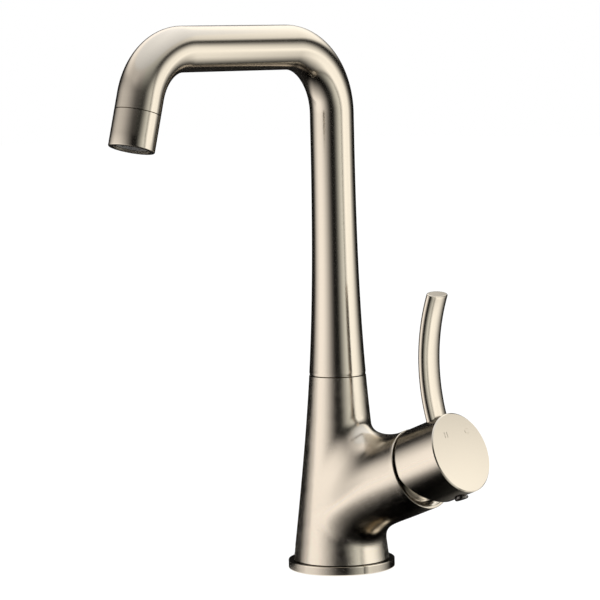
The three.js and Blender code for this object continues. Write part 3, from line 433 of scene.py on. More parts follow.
def spoke_angles():
    """Angles round the branch, with one through each corner of the column's unrolled skin."""
    body = sizes("body")
    side = body.blend_side / math.pi
    top = (body.seam_height - body.branch_height) / body.blend_top
    bottom = (body.branch_height - body.flange_height) / body.blend_bottom
    upper = math.atan(1 / (top * side))
    lower = math.pi - math.atan(1 / (bottom * side))
    half = []
    # Over the crossing the skin ends at the seam, beside it at the back, and under it at the flange.
    for start, end, count in ((0, upper, 32), (upper, lower, 42), (lower, math.pi, 26)):
        half += [start + (end - start) * i / count for i in range(count)]
    return half + [math.pi] + [-a for a in half[:0:-1]]


def gooseneck(rear_steps, front_steps):
    """The centre line of the tube after the column, as (place, way)."""
    spout = sizes("spout")
    lean = spout.outlet_lean
    flow = Vector((0, -math.sin(lean), -math.cos(lean)))
    mouth = Vector((0, -spout.outlet_reach, spout.bar_height - spout.outlet_drop))
    corner = spout.outlet_reach - spout.outlet_drop * math.tan(lean)
    turn_by = math.pi / 2 - lean
    tangent = spout.front_bend * math.tan(turn_by / 2)
    stations = []

    def bend(centre_y, radius, start, end, steps):
        """Adds an arc whose top touches the bar. Its angles count from level on the column's side."""
        for i in range(steps + 1):
            a = start + (end - start) * i / steps
            way = Vector((0, -math.sin(a), math.cos(a)))
            height = spout.bar_height - radius + radius * math.sin(a)
            stations.append((Vector((0, centre_y + radius * math.cos(a), height)), way))

    bend(-spout.rear_bend, spout.rear_bend, 0, math.pi / 2, rear_steps)
    start = stations[-1][0]
    end_y = tangent - corner
    bar_steps = 12
    for i in range(1, bar_steps):
        stations.append((start.lerp(Vector((0, end_y, start.z)), i / bar_steps), -Y))
    bend(end_y, spout.front_bend, math.pi / 2, math.pi / 2 + turn_by, front_steps)
    tube_end = mouth - flow * (spout.sleeve_length + GAP)
    stations.append((stations[-1][0].lerp(tube_end, 0.5), flow))
    stations.append((tube_end, flow))
    return stations


def section(at, way, radius, rounds):
    """A ring of points round a place on the tube."""
    up = way.cross(X).normalized()
    return [at + X * (radius * math.cos(a)) + up * (radius * math.sin(a)) for a in all_round(rounds)]


# ---------------------------------------------------------------- material code


# What a pattern gives a material: the bump's height, a factor for the colour and a term for the roughness.
EFFECTS = ("Height", "Shade", "Roughness")


def group_tree(name, inputs, outputs):
    """A node group with named sockets. Returns the tree and its two end nodes."""
    tree = bpy.data.node_groups.new(name, "ShaderNodeTree")
    for label, kind, value in inputs:
        socket = tree.interface.new_socket(label, in_out="INPUT", socket_type=kind)
        socket.default_value = value
    for label, kind in outputs:
        tree.interface.new_socket(label, in_out="OUTPUT", socket_type=kind)
    return tree, tree.nodes.new("NodeGroupInput"), tree.nodes.new("NodeGroupOutput")


def math_node(tree, operation, a, b=None, c=None):
    """A sum of one to three numbers or sockets. Returns its outcome's socket."""
    node = tree.nodes.new("ShaderNodeMath")
    node.operation = operation
    for i, value in enumerate((a, b, c)):
        if value is None:
            continue
        if isinstance(value, (int, float)):
            node.inputs[i].default_value = value
        else:
            tree.links.new(value, node.inputs[i])
    return node.outputs[0]


def noise_node(tree, vector, detail, scale=1.0):
    """A noise of 0 to 1 at a vector. The scale is a number or a socket."""
    node = tree.nodes.new("ShaderNodeTexNoise")
    node.inputs["Detail"].default_value = detail
    tree.links.new(vector, node.inputs["Vector"])
    if isinstance(scale, float):
        node.inputs["Scale"].default_value = scale
    else:
        tree.links.new(scale, node.inputs["Scale"])
    return node


def streaks(tree, place, per_metre_round, per_metre_along, detail):
    """A noise that is drawn out round the piece."""
    node = tree.nodes.new("ShaderNodeVectorMath")
    node.operation = "MULTIPLY"
    tree.links.new(place, node.inputs[0])
    node.inputs[1].default_value = (per_metre_round, per_metre_along, 1)
    return noise_node(tree, node.outputs[0], detail)


def brushing_group():
    """Fine lines that run round a piece, from its grain map."""
    kind = "NodeSocketFloat"
    effects = [(label, kind) for label in EFFECTS]
    tree, start, end = group_tree("round brushing", [("Strength", kind, 0.3)], effects)
    place = tree.nodes.new("ShaderNodeUVMap")
    place.uv_map = "grain"
    fine = streaks(tree, place.outputs[0], per_metre_round=60, per_metre_along=5200, detail=3.0)
    fine.inputs["Roughness"].default_value = 0.65
    broad = streaks(tree, place.outputs[0], per_metre_round=22, per_metre_along=900, detail=2.0)
    fine_part = math_node(tree, "MULTIPLY", fine.outputs["Fac"], 0.7)
    both = math_node(tree, "ADD", fine_part, math_node(tree, "MULTIPLY", broad.outputs["Fac"], 0.3))
    strength = start.outputs["Strength"]
    level = math_node(tree, "MULTIPLY", math_node(tree, "SUBTRACT", both, 0.5), strength)
    tree.links.new(math_node(tree, "MULTIPLY", both, strength), end.inputs["Height"])
    tree.links.new(math_node(tree, "MULTIPLY_ADD", level, 0.35, 1.0), end.inputs["Shade"])
    tree.links.new(math_node(tree, "MULTIPLY", level, 0.5), end.inputs["Roughness"])
    return tree


def mottle_group():
    """Faint clouds and a fine grain with no direction, from the object's own coordinates."""
    kind = "NodeSocketFloat"
    tree, start, end = group_tree(
        "fine grain",
        [("Grain per metre", kind, 3000), ("Clouds per metre", kind, 60), ("Strength", kind, 0.3)],
        [(label, kind) for label in EFFECTS],
    )
    place = tree.nodes.new("ShaderNodeTexCoord").outputs["Object"]
    grain, clouds = (
        math_node(tree, "SUBTRACT", noise_node(tree, place, detail, start.outputs[label]).outputs["Fac"], 0.5)
        for label, detail in (("Grain per metre", 2.0), ("Clouds per metre", 3.0))
    )
    strength = start.outputs["Strength"]
    level = math_node(tree, "MULTIPLY", math_node(tree, "MULTIPLY_ADD", grain, 0.5, clouds), strength)
    tree.links.new(math_node(tree, "MULTIPLY", grain, strength), end.inputs["Height"])
    tree.links.new(math_node(tree, "MULTIPLY_ADD", level, 0.4, 1.0), end.inputs["Shade"])
    tree.links.new(level, end.inputs["Roughness"])
    return tree


def finish(name, tint, roughness, metallic, pattern_tree, values, bump, coat=0.0):
    """A material whose colour, roughness and bump come from one of the pattern groups."""
    material = bpy.data.materials.new(name)
    material.use_nodes = True
    nodes, links = material.node_tree.nodes, material.node_tree.links
    shader = nodes["Principled BSDF"]
    shader.inputs["Metallic"].default_value = metallic
    shader.inputs["Coat Weight"].default_value = coat
    pattern = nodes.new("ShaderNodeGroup")
    pattern.node_tree = pattern_tree
    for label, value in values.items():
        pattern.inputs[label].default_value = value
    mix = nodes.new("ShaderNodeVectorMath")
    mix.operation = "SCALE"
    mix.inputs[0].default_value = tint
    links.new(pattern.outputs["Shade"], mix.inputs["Scale"])
    links.new(mix.outputs[0], shader.inputs["Base Color"])
    rough = nodes.new("ShaderNodeMath")
    rough.operation = "ADD"
    rough.use_clamp = True
    rough.inputs[1].default_value = roughness
    links.new(pattern.outputs["Roughness"], rough.inputs[0])
    links.new(rough.outputs[0], shader.inputs["Roughness"])
    relief = nodes.new("ShaderNodeBump")
    relief.inputs["Strength"].default_value = 1.0
    relief.inputs["Distance"].default_value = bump
    links.new(pattern.outputs["Height"], relief.inputs["Height"])
    links.new(relief.outputs["Normal"], shader.inputs["Normal"])
    return material


def nickel_finishes(look, brushing, mottle):
    """The plated pieces: brushed round where they are bent or turned, and finely grained where cast."""
    brushed, polished = {"Strength": look.grain}, {"Strength": 0.12}
    turned_lines = {"Strength": 0.15}
    cast = {"Grain per metre": 1300, "Clouds per metre": 160, "Strength": 0.24}
    tube = finish("satin nickel, brushed round", look.nickel, look.tube_gloss, METAL, brushing, brushed, 4e-6)
    body = finish("satin nickel, cast", look.nickel, look.body_gloss, METAL, mottle, cast, 8e-6)
    flange = finish("satin nickel, turned", look.nickel, 0.07, METAL, brushing, turned_lines, 1e-6)
    bright = finish("bright nickel", look.bright_nickel, 0.09, METAL, brushing, polished, 1e-6)
    # The plug gets a darker colour than the other nickel pieces.
    plug = finish("darker plug metal", look.darker_plug_colour, 0.12, METAL, brushing, polished, 1e-6)
    return {"tube": tube, "satin_nickel": body, "flange": flange, "bright_nickel": bright, "plug": plug}


def inner_finishes(look, mottle):
    """The pieces inside: machined, lapped and moulded, each with an even grain of its own strength."""

    def even(name, tint, roughness, metallic, strength, bump, coat=0.0):
        values = {"Grain per metre": 2600, "Clouds per metre": 55, "Strength": strength}
        return finish(name, tint, roughness, metallic, mottle, values, bump, coat)

    return {
        "raw_brass": even("machined brass", look.brass, 0.3, METAL, 0.3, 2e-5),
        "steel": even("machined steel", look.steel, 0.32, METAL, 0.25, 1e-5),
        "ceramic": even("lapped ceramic", look.ceramic, 0.22, NOT_METAL, 0.12, 2e-6, coat=0.2),
        "plastic": even("grey acetal", look.plastic, 0.45, NOT_METAL, 0.4, 1e-5),
        "rubber": even("seal rubber", look.rubber, 0.6, NOT_METAL, 0.5, 2e-5),
    }


# The finishes by name. The names of the frame's slots are among them.
MATERIALS = {}


def make_finishes():
    """Makes every finish, ready for the pieces."""
    look, mottle = sizes("finish"), mottle_group()
    MATERIALS.update(nickel_finishes(look, brushing_group(), mottle))
    MATERIALS.update(inner_finishes(look, mottle))


# ---------------------------------------------------------------- the studio


# The light tent is seen by glossy rays only. Its tones are brightnesses, set against the photo's
# reflections. A turn is an angle round the tent, in degrees from the camera's side and positive to its right.
TURN_STEP = 2
TABLE_RINGS, WALL_RINGS, CEILING_RINGS = 26, 40, 8
# The table reaches out so many tent radii, and table and walls stand so far over the floor.
TABLE_REACH = 1.15
TENT_LIFT = 0.0004
# What the low parts of the tent keep of their light in a reflection of a reflection, which would else be too
# bright in the fillet, and the gain that makes up for it in what the table mirrors.
KEPT = 0.3
MIRROR_GAIN = 3.33
DARK_WALL, DARK_TABLE = 0.01, 0.02


def ease(value, low, high):
    """A smooth step from 0 at low to 1 at high."""
    t = min(1.0, max(0.0, (value - low) / (high - low)))
    return t * t * (3 - 2 * t)


def peak(value, middle, width):
    """1 at the middle, and next to nothing from two widths away on."""
    return math.exp(-(((value - middle) / width) ** 2))


def round_tone(turn):
    """Brightness of the panels at a turn: one on the left, and one on the right with a dark frame in it."""
    left = 0.93 * ease(turn, -130, -94) * (1 - ease(turn, -72, -2))
    inner = 0.76 * ease(turn, 6, 56) * (1 - ease(turn, 56, 62))
    right = 1.1 * ease(turn, 52, 66) * (1 - 0.08 * ease(turn, 66, 80)) * (1 - ease(turn, 82, 136))
    frame_line = 1 - 0.85 * peak(turn, 53.5, 2.2)
    return left + max(inner, right) * frame_line


def right_wall(away, height):
    """The panel, the light over it, and how much of the camera's side it is, so far round to the right."""
    gap = 0.575 - 0.245 * min(1.0, max(0.0, (away - 90) / 65))
    panel = round_tone(away) * (1 - ease(height, gap - 0.3, gap))
    bright_edge = 0.45 * peak(away, 99.5, 6) * (1 - ease(height, 0.21, 0.27))
    panel *= 1 + bright_edge * ease(height, 0.12, 0.2)
    over = (0.5 + 0.8 * ease(away, 50, 165)) * ease(height, gap, gap + 0.14 + 0.12 * ease(away, 140, 160))
    return panel, over, 1 - ease(away, 30, 60)


def left_wall(away, height):
    """The same three, so far round to the left."""
    panel = round_tone(-away) * (1 - 0.55 * ease(height, 0.15, 0.52))
    up = ease(height, 0.06, 0.13)
    panel *= 1 - 0.4 * ease(away, 86, 96) * (1 - up)
    panel *= 1 - 0.22 * ease(away, 84, 98) * up
    back = ease(away, 118, 132)
    rise = ease(height, 0.38, 0.66) * (1 - back) + ease(height, 0.46, 0.58) * back
    return panel, (0.52 + 0.75 * ease(away, 55, 170)) * rise, 1 - ease(away, 10, 45)


def wall_tone(turn, height, level):
    """Panels stand on the floor, a dark gap lies over them, and over that the light of the ceiling."""
    side = right_wall if turn > 0 else left_wall
    panel, over, front = side(abs(turn), height)
    over = over * (1 - front) + 0.5 * ease(height, 0.33, 0.85) * front
    return max(level * panel, over, DARK_WALL)


def ceiling_tone(turn, inward):
    """Brighter towards the back, and even in the middle."""
    edge = 0.5 + 0.66 * (abs(turn) / 170) ** 1.6
    return edge + (1.0 - edge) * inward


def table_light_past_painted_shadow(turn, radius):
    """How much of the panels' light lies on the table: a painted shadow and painted reflection of the
    faucet's dark body make it less round the foot, and least on the right.
    """
    # Painted shadow of the faucet on the table round its foot, deepest on the right.
    if turn > 10:
        return ease(radius, 0.03, 0.16)
    painted_shade_near_foot = 0.45 + 0.55 * ease(radius, 0.05, 0.16)
    return painted_shade_near_foot * (1 - 0.9 * ease(-turn, 84, 104) * (1 - ease(radius, 0.05, 0.12)))


def light_tint(kind, turn):
    """Faint colour of each light."""
    if kind == "ceiling":
        return (0.975, 1.0, 1.05)
    if turn < 0:
        return (1.035, 1.0, 0.985)
    return (0.985, 1.0, 0.955) if turn < 54 else (1.01, 1.0, 0.965)


def tent_light(kind, turn, radius, height, studio):
    """The tone, the share of it that the table's painted shadow round the foot leaves, and what is kept of it
    in a reflection of a reflection.
    """
    if kind == "table":
        tone = max(studio.panel_level * round_tone(turn), DARK_TABLE)
        return tone, table_light_past_painted_shadow(turn, radius), KEPT + (1 - KEPT) * ease(radius, 0.16, 0.28)
    if kind == "wall":
        tone = wall_tone(turn, height, studio.panel_level)
        return tone, 1.0, KEPT + (1 - KEPT) * ease(height, 0.48, 0.6)
    return ceiling_tone(turn, 1 - radius / studio.tent_radius), 1.0, 1.0


def tent_mesh(studio, middle, foot):
    """Walls and ceiling of a light tent and the table round the foot, with a light at each point."""
    radius, height, lift = studio.tent_radius, studio.tent_height, TENT_LIFT
    camera_side = math.degrees(math.atan2(studio.camera_place.y, studio.camera_place.x))
    turns = list(range(-180, 180, TURN_STEP))
    count = len(turns)
    spread = TABLE_REACH * radius
    table = [("table", foot, spread * (i / TABLE_RINGS) ** 1.5, lift) for i in range(1, TABLE_RINGS + 1)]
    walls = [("wall", middle, radius, lift + height * i / WALL_RINGS) for i in range(WALL_RINGS + 1)]
    top, inward = lift + height, [1 - i / CEILING_RINGS for i in range(1, CEILING_RINGS)]
    walls += [("ceiling", middle, radius * part, top) for part in inward]
    points, tones, twice, faces, shown_by = [], [], [], [], []
    for material, rows in enumerate((table, walls)):
        first = len(points)
        for kind, centre, r, z in rows:
            for turn in turns:
                a = math.radians(camera_side + turn)
                points.append((centre.x + r * math.cos(a), centre.y + r * math.sin(a), z))
                tone, reach, kept = tent_light(kind, turn, r, z, studio)
                # The fourth value is what the table's painted shadow round the foot leaves of the light, and
                # 1 on the walls and ceiling.
                tones += [tone * part for part in light_tint(kind, turn)] + [reach]
                twice.append(kept)
        for i in range(len(rows) - 1):
            for j in range(count):
                k = (j + 1) % count
                low, high = first + i * count, first + (i + 1) * count
                faces.append((low + j, low + k, high + k, high + j))
        cap = first if rows is table else len(points) - count
        faces.append(tuple(range(cap, cap + count)))
        shown_by += [material] * (len(faces) - len(shown_by))
    mesh = bpy.data.meshes.new("light_tent")
    mesh.from_pydata(points, [], faces)
    mesh.attributes.new("tone", "FLOAT_COLOR", "POINT").data.foreach_set("color", tones)
    mesh.attributes.new("twice", "FLOAT", "POINT").data.foreach_set("value", twice)
    mesh.polygons.foreach_set("material_index", shown_by)
    return mesh


def tent_shader(name):
    """A new material that gives off the tone at each point, with what its light keeps at the ray's depth."""
    material = bpy.data.materials.new(name)
    material.use_nodes = True
    material.cycles.emission_sampling = "NONE"
    tree = material.node_tree
    tree.nodes.clear()
    tone, twice = tree.nodes.new("ShaderNodeAttribute"), tree.nodes.new("ShaderNodeAttribute")
    tone.attribute_name, twice.attribute_name = "tone", "twice"
    light = tree.nodes.new("ShaderNodeEmission")
    tree.links.new(tone.outputs["Color"], light.inputs["Color"])
    depth = tree.nodes.new("ShaderNodeLightPath").outputs["Glossy Depth"]
    again = math_node(tree, "GREATER_THAN", depth, 1.5)
    kept = math_node(tree, "MULTIPLY_ADD", again, math_node(tree, "SUBTRACT", twice.outputs["Fac"], 1.0), 1.0)
    third = math_node(tree, "MULTIPLY_ADD", math_node(tree, "GREATER_THAN", depth, 2.5), KEPT - 1, 1.0)
    return material, tone, light, math_node(tree, "MINIMUM", kept, third)


def panels_material():
    """The walls and the ceiling: plain light."""
    material, _, light, kept = tent_shader("light panels")
    tree = material.node_tree
    output = tree.nodes.new("ShaderNodeOutputMaterial")
    tree.links.new(kept, light.inputs["Strength"])
    tree.links.new(light.outputs[0], output.inputs["Surface"])
    return material


def table_material():
    """The table mirrors the walls for a ray that skims it, and gets darker for one that meets it steeply.
    Round the faucet's foot a painted shadow cuts its light.
    """
    material, tone, light, kept = tent_shader("table with painted shadow")
    tree = material.node_tree
    facing = tree.nodes.new("ShaderNodeLayerWeight").outputs["Facing"]
    near = math_node(tree, "MINIMUM", math_node(tree, "MULTIPLY", facing, 1.85), 1.0)
    # The tone's alpha darkens the table round the foot: a painted shadow and painted reflection of the
    # faucet.
    near = math_node(tree, "MULTIPLY", near, tone.outputs["Alpha"])
    tree.links.new(math_node(tree, "MULTIPLY", near, kept), light.inputs["Strength"])
    skim = math_node(tree, "MULTIPLY", math_node(tree, "POWER", facing, 6.0), 2.2)
    mirror = tree.nodes.new("ShaderNodeBsdfGlossy")
    mirror.inputs["Color"].default_value = (MIRROR_GAIN, MIRROR_GAIN, MIRROR_GAIN, 1)
    mirror.inputs["Roughness"].default_value = 0.05
    mix = tree.nodes.new("ShaderNodeMixShader")
    tree.links.new(math_node(tree, "MINIMUM", skim, 1.0), mix.inputs[0])
    tree.links.new(light.outputs[0], mix.inputs[1])
    tree.links.new(mirror.outputs[0], mix.inputs[2])
    tree.links.new(mix.outputs[0], tree.nodes.new("ShaderNodeOutputMaterial").inputs["Surface"])
    return material


def floor_material():
    """A pale matt floor that the camera and mirrors see as nearly plain white."""
    material = bpy.data.materials.new("pale floor")
    material.use_nodes = True
    tree = material.node_tree
    shader = tree.nodes["Principled BSDF"]
    shader.inputs["Base Color"].default_value = (0.97, 0.97, 0.97, 1)
    shader.inputs["Roughness"].default_value = 0.9
    white = tree.nodes.new("ShaderNodeEmission")
    white.inputs["Strength"].default_value = 1.06
    mix = tree.nodes.new("ShaderNodeMixShader")
    tree.links.new(math_node(tree, "MULTIPLY", seen_directly(tree), 0.86), mix.inputs[0])
    tree.links.new(shader.outputs[0], mix.inputs[1])
    tree.links.new(white.outputs[0], mix.inputs[2])
    tree.links.new(mix.outputs[0], tree.nodes["Material Output"].inputs["Surface"])
    return material


def seen_directly(tree):
    """1 for camera, glossy and transmission rays."""
    path = tree.nodes.new("ShaderNodeLightPath")
    rays = math_node(tree, "MAXIMUM", path.outputs["Is Camera Ray"], path.outputs["Is Glossy Ray"])
    return math_node(tree, "MAXIMUM", rays, path.outputs["Is Transmission Ray"])


def make_world():
    """White all round, a little brighter where a ray sees it directly."""
    world = bpy.data.worlds.new("white room")
    world.use_nodes = True
    tree = world.node_tree
    background = tree.nodes["Background"]
    background.inputs["Color"].default_value = (1, 1, 1, 1)
    strength = math_node(tree, "MULTIPLY_ADD", seen_directly(tree), 0.05, 0.95)
    tree.links.new(strength, background.inputs["Strength"])
    bpy.context.scene.world = world


def make_camera(studio):
    """The camera, where the photo was taken from."""
    data = bpy.data.cameras.new("camera")
    data.lens = studio.lens
    data.sensor_width = studio.sensor
    data.sensor_fit = "HORIZONTAL"
    data.clip_start, data.clip_end = 0.05, 50
    camera = bpy.data.objects.new("camera", data)
    heading = Matrix.Rotation(studio.camera_heading, 4, "Z")
    tilt = Matrix.Rotation(studio.camera_tilt, 4, "X")
    roll = Matrix.Rotation(studio.camera_roll, 4, "Z")
    camera.matrix_world = Matrix.Translation(studio.camera_place) @ heading @ tilt @ roll
    bpy.context.scene.collection.objects.link(camera)
    bpy.context.scene.camera = camera


def make_floor(studio):
    """A plain square floor just under the faucet."""
    half = studio.floor_size / 2
    mesh = bpy.data.meshes.new("floor")
    corners = [(-half, -half, -GAP), (half, -half, -GAP), (half, half, -GAP), (-half, half, -GAP)]
    mesh.from_pydata(corners, [], [(0, 1, 2, 3)])
    mesh.materials.append(floor_material())
    return bpy.data.objects.new("floor", mesh)


def make_tent(studio):
    """The light tent, with the table round the faucet's foot."""
    middle, foot = Vector((0.02, -0.04, 0)), Vector((0.012, 0, 0))
    tent = bpy.data.objects.new("light_tent", tent_mesh(studio, middle, foot))
    tent.data.materials.append(table_material())
    tent.data.materials.append(panels_material())
    tent.visible_camera = tent.visible_diffuse = tent.visible_shadow = False
    tent.visible_transmission = tent.visible_volume_scatter = False
    return tent


def make_lamp(name, place, power):
    """A square lamp that shines on the faucet's middle and that glossy rays don't see."""
    aim = Vector((0, -0.05, 0.12))
    data = bpy.data.lights.new(name, "AREA")
    data.size = 0.9
    data.energy = power
    lamp = bpy.data.objects.new(name, data)
    lamp.location = place
    lamp.rotation_mode = "QUATERNION"
    lamp.rotation_quaternion = (aim - place).to_track_quat("-Z", "Y")
    lamp.visible_glossy = False
    bpy.context.scene.collection.objects.link(lamp)


# ---------------------------------------------------------------- operators


class FAUCET_OT_finishes(bpy.types.Operator):
    """Makes the finishes and puts them on the pieces that come from the frame"""

    bl_idname = "faucet.finishes"
    bl_label = "Finishes"

    def execute(self, context):
        make_finishes()
        slots = {part["node"]: part["material_slot"] for part in frame["record"]["subparts"]}
        for name, node in frame["nodes"].items():
            node.data.materials.clear()
            node.data.materials.append(MATERIALS[slots[name]])
        return {"FINISHED"}


class FAUCET_OT_stage(bpy.types.Operator):
    """Sets up the camera, the pale floor, the light panels and the lamps"""

    bl_idname = "faucet.stage"
    bl_label = "Camera and studio"

    def execute(self, context):
        studio = sizes("studio")
        context.scene.view_settings.view_transform = "Standard"
        make_world()
        make_camera(studio)
        floor, tent = make_floor(studio), make_tent(studio)
        for o in (floor, tent):
            context.scene.collection.objects.link(o)
        make_lamp("lamp_left", Vector((-0.2, -1.3, 0.9)), 9.0)
        make_lamp("lamp_right", Vector((1.3, 0.5, 1.0)), 7.0)
        return {"FINISHED"}


def body_bores(body):
    """Cutters for the casting's bores. Depths run along the branch, and heights over the deck."""
    mouth_floor, nut_floor, cartridge_floor, port_depth = 0.062, 0.0527, 0.034, 0.035
    nut_bore, cartridge_bore, port_low, port_side = 0.02, 0.0178, 0.005, 0.006
    shank_floor, shank_top, shank_bore = 0.062, 0.108, 0.0113
    stud, stud_depth, stud_hole = Vector((-0.011, 0, 0)), 0.014, 0.0034
    lock_height, lock_hole, lock_start, lock_end = 0.092, 0.0022, 0.01, 0.0264
    socket_x, socket_y, socket_depth, socket_bore, water_way = 0.006, 0.0095, 0.012, 0.0047, 0.003
    end = body.branch_length + OVERRUN
    cutters = [
        rod_mesh(on_branch(mouth_floor), on_branch(end), body.mouth_radius, 128),
        rod_mesh(on_branch(nut_floor), on_branch(end), nut_bore, 96),
        rod_mesh(on_branch(cartridge_floor), on_branch(end), cartridge_bore, 96),
        rod_mesh(Z * shank_floor, Z * shank_top, shank_bore, 96),
        rod_mesh(stud - Z * OVERRUN, stud + Z * stud_depth, stud_hole),
        rod_mesh(Vector((0, lock_start, lock_height)), Vector((0, lock_end, lock_height)), lock_hole),
    ]
    for side in (-1, 1):
        socket = Vector((socket_x, side * socket_y, 0))
        port = on_branch(port_depth, -port_low, side * port_side)
        cutters.append(rod_mesh(socket - Z * OVERRUN, socket + Z * socket_depth, socket_bore))
        cutters.append(rod_mesh(socket + Z * (socket_depth - 0.002), port, water_way, 32))
    return cutters


class FAUCET_OT_body(bpy.types.Operator):
    """Builds the casting: the flared column, the branch and the fillet between them"""

    bl_idname = "faucet.body"
    bl_label = "Body casting"

    def execute(self, context):
        spigot_radius, spigot_top = 0.0217, 0.006
        lines = [blend_line(a, steps=28) for a in spoke_angles()]
        mesh = grid_mesh("body_casting", [list(row) for row in zip(*lines)])
        close_ends(mesh)
        spigot = rod_mesh(Z * 0, Z * spigot_top, spigot_radius, 96)
        mesh = combined(mesh, [spigot], "UNION")
        mesh = combined(mesh, body_bores(sizes("body")), "DIFFERENCE")
        tidy(mesh)
        place_piece("body_casting", mesh, "faucet_body", "satin_nickel")
        return {"FINISHED"}


class FAUCET_OT_flange(bpy.types.Operator):
    """Builds the round plate under the foot"""

    bl_idname = "faucet.flange"
    bl_label = "Base flange"

    def execute(self, context):
        radius = sizes("body").flange_radius
        top = sizes("body").flange_height - GAP
        hole, under_foot = 0.022, 0.0268
        low_edge, edge, beside = 0.0002, 0.00035, 0.0003
        outline = [(hole, 0), (radius - low_edge, 0), (radius, low_edge), (radius, low_edge + beside)]
        outline += [(radius, top / 3), (radius, 2 * top / 3), (radius, top - edge - beside)]
        outline += [(radius, top - edge), (radius - edge * 0.3, top - edge * 0.3), (radius - edge, top)]
        outline += [(radius - edge - beside, top), (under_foot, top), (hole, top)]
        mesh = turned("base_flange", outline)
        place_piece("base_flange", mesh, "faucet_body", "flange")
        return {"FINISHED"}


def spout_tube(body, spout):
    """The flared foot, the column, the gooseneck and, back through them, the bore."""
    rounds, steps = 96, 70
    bottom, bore_ring = body.seam_height + GAP, 0.16
    edge = 0.00025
    first = column_at(bottom)[0] - GAP
    rows = [section(Z * bottom, Z, first - edge, rounds), section(Z * (bottom + edge), Z, first, rounds)]
    rows.append(section(Z * (bottom + 3 * edge), Z, first, rounds))
    start = bottom + 6 * edge
    for i in range(steps + 1):
        height = start + (spout.straight_height - start) * i / steps
        rows.append(section(Z * height, Z, column_at(height)[0], rounds))
    path = gooseneck(rear_steps=40, front_steps=32)
    rows += [section(at, way, spout.tube_radius, rounds) for at, way in path]
    bore = spout.tube_radius - spout.tube_wall
    rows += [section(at, way, bore, rounds) for at, way in reversed(path[::2])]
    rows += [section(Z * height, Z, bore, rounds) for height in (bore_ring, bottom)]
    return grid_mesh("spout_tube", rows, closed=True)


def aerator_housing(spout):
    """The sleeve on the tube's end, with a lip over the insert and a collar that goes into the tube."""
    lean = spout.outlet_lean
    mouth = Vector((0, -spout.outlet_reach, spout.bar_height - spout.outlet_drop))
    place = Matrix.Translation(mouth) @ Matrix.Rotation(-lean, 4, "X")
    r, top = spout.tube_radius, spout.sleeve_length
    lip, lip_height, recess = 0.0096, 0.0012, 0.0102
    collar, collar_height, collar_bore = 0.01038, 0.005, 0.00918
    insert_top = 0.0165
    round_edge, bevel = 0.0005, 0.00015
    outline = [(lip, 0), (r - round_edge, 0), (r - 0.00025, 0.00007), (r - 0.00007, 0.00025), (r, round_edge)]
    outline += [(r, top / 3), (r, 2 * top / 3), (r, top - bevel), (r - bevel, top), (collar, top)]
    outline += [(collar, top + collar_height), (collar_bore, top + collar_height), (collar_bore, insert_top)]
    outline += [(recess, insert_top), (recess, lip_height), (lip, lip_height)]
    return turned("aerator_housing", outline, place)


class FAUCET_OT_spout(bpy.types.Operator):
    """Builds the spout's tube and the sleeve round its aerator"""

    bl_idname = "faucet.spout"
    bl_label = "Spout"

    def execute(self, context):
        spout = sizes("spout")
        place_piece("spout_tube", spout_tube(sizes("body"), spout), "spout", "tube")
        place_piece("aerator_housing", aerator_housing(spout), "spout", "tube")
        return {"FINISHED"}


class FAUCET_OT_bonnet(bpy.types.Operator):
    """Builds the bright ring between the branch's rim and the handle"""

    bl_idname = "faucet.bonnet"
    bl_label = "Bonnet ring"

    def execute(self, context):
        bottom, top, groove_floor = 0.0623, 0.0628, 0.06255
        outline = [(0.016, bottom), (0.0207, bottom), (0.0207, 0.0627), (0.0206, top)]
        for r in (0.0202, 0.0192):
            outline += [(r, top), (r - 0.0001, groove_floor), (r - 0.0004, groove_floor), (r - 0.0005, top)]
        # The dome, from the collar up to its mouth, and back down inside it.
        outline += [(0.0173, top), (0.0174, 0.0648), (0.0175, 0.066), (0.017, 0.068), (0.0162, 0.0697)]
        outline += [(0.0152, 0.0713), (0.0138, 0.0728), (0.0127, 0.0734), (0.0116, 0.0738), (0.0106, 0.0738)]
        outline += [(0.0106, 0.0726), (0.013, 0.07215), (0.0152, 0.0685)]
        mesh = turned("bonnet_ring", outline, branch_place())
        place_piece("bonnet_ring", mesh, "faucet_body", "bright_nickel")
        return {"FINISHED"}


def drum(handle, place):
    """The hub's shell: a flat face, a round wall and a skirt whose edge slants back under the axis."""
    turns = all_round(sizes("studio").rounds)
    radius, face = handle.hub_radius, handle.hub_face
    inner, back = radius - handle.hub_wall, face - handle.face_thickness
    chamfer, edge, beside = handle.face_chamfer, 0.0003, 0.0003

    def rear(a, r):
        under = max(0.0, r * math.cos(a) - handle.skirt_cut) / (radius - handle.skirt_cut)
        return handle.hub_rear + handle.skirt_rise * under**handle.skirt_curve

    def row(r, depth):
        return [place @ Vector((r * math.cos(a), r * math.sin(a), depth)) for a in turns]

    def skirt_row(r, rim, share_up=0.0, over=0.0):
        """A ring so far over the skirt's edge, and then a share of the way from there to the face."""
        points = []
        for a in turns:
            low = rear(a, rim) + over
            depth = low + (face - chamfer - low) * share_up
            points.append(place @ Vector((r * math.cos(a), r * math.sin(a), depth)))
        return points

    rows = [row(0, face), row(radius * 0.5, face), row(radius - chamfer - beside, face)]
    rows += [row(radius - chamfer, face), row(radius, face - chamfer), row(radius, face - chamfer - beside)]
    rows += [skirt_row(radius, radius, part, edge) for part in (0.75, 0.5, 0.25, 0.02, 0)]
    rows.append(skirt_row(radius - edge * 0.3, radius, over=edge * 0.3))
    rows += [skirt_row(radius - edge, radius - edge), skirt_row(inner, inner), row(inner, back), row(0, back)]
    return grid_mesh("handle_hub", rows)


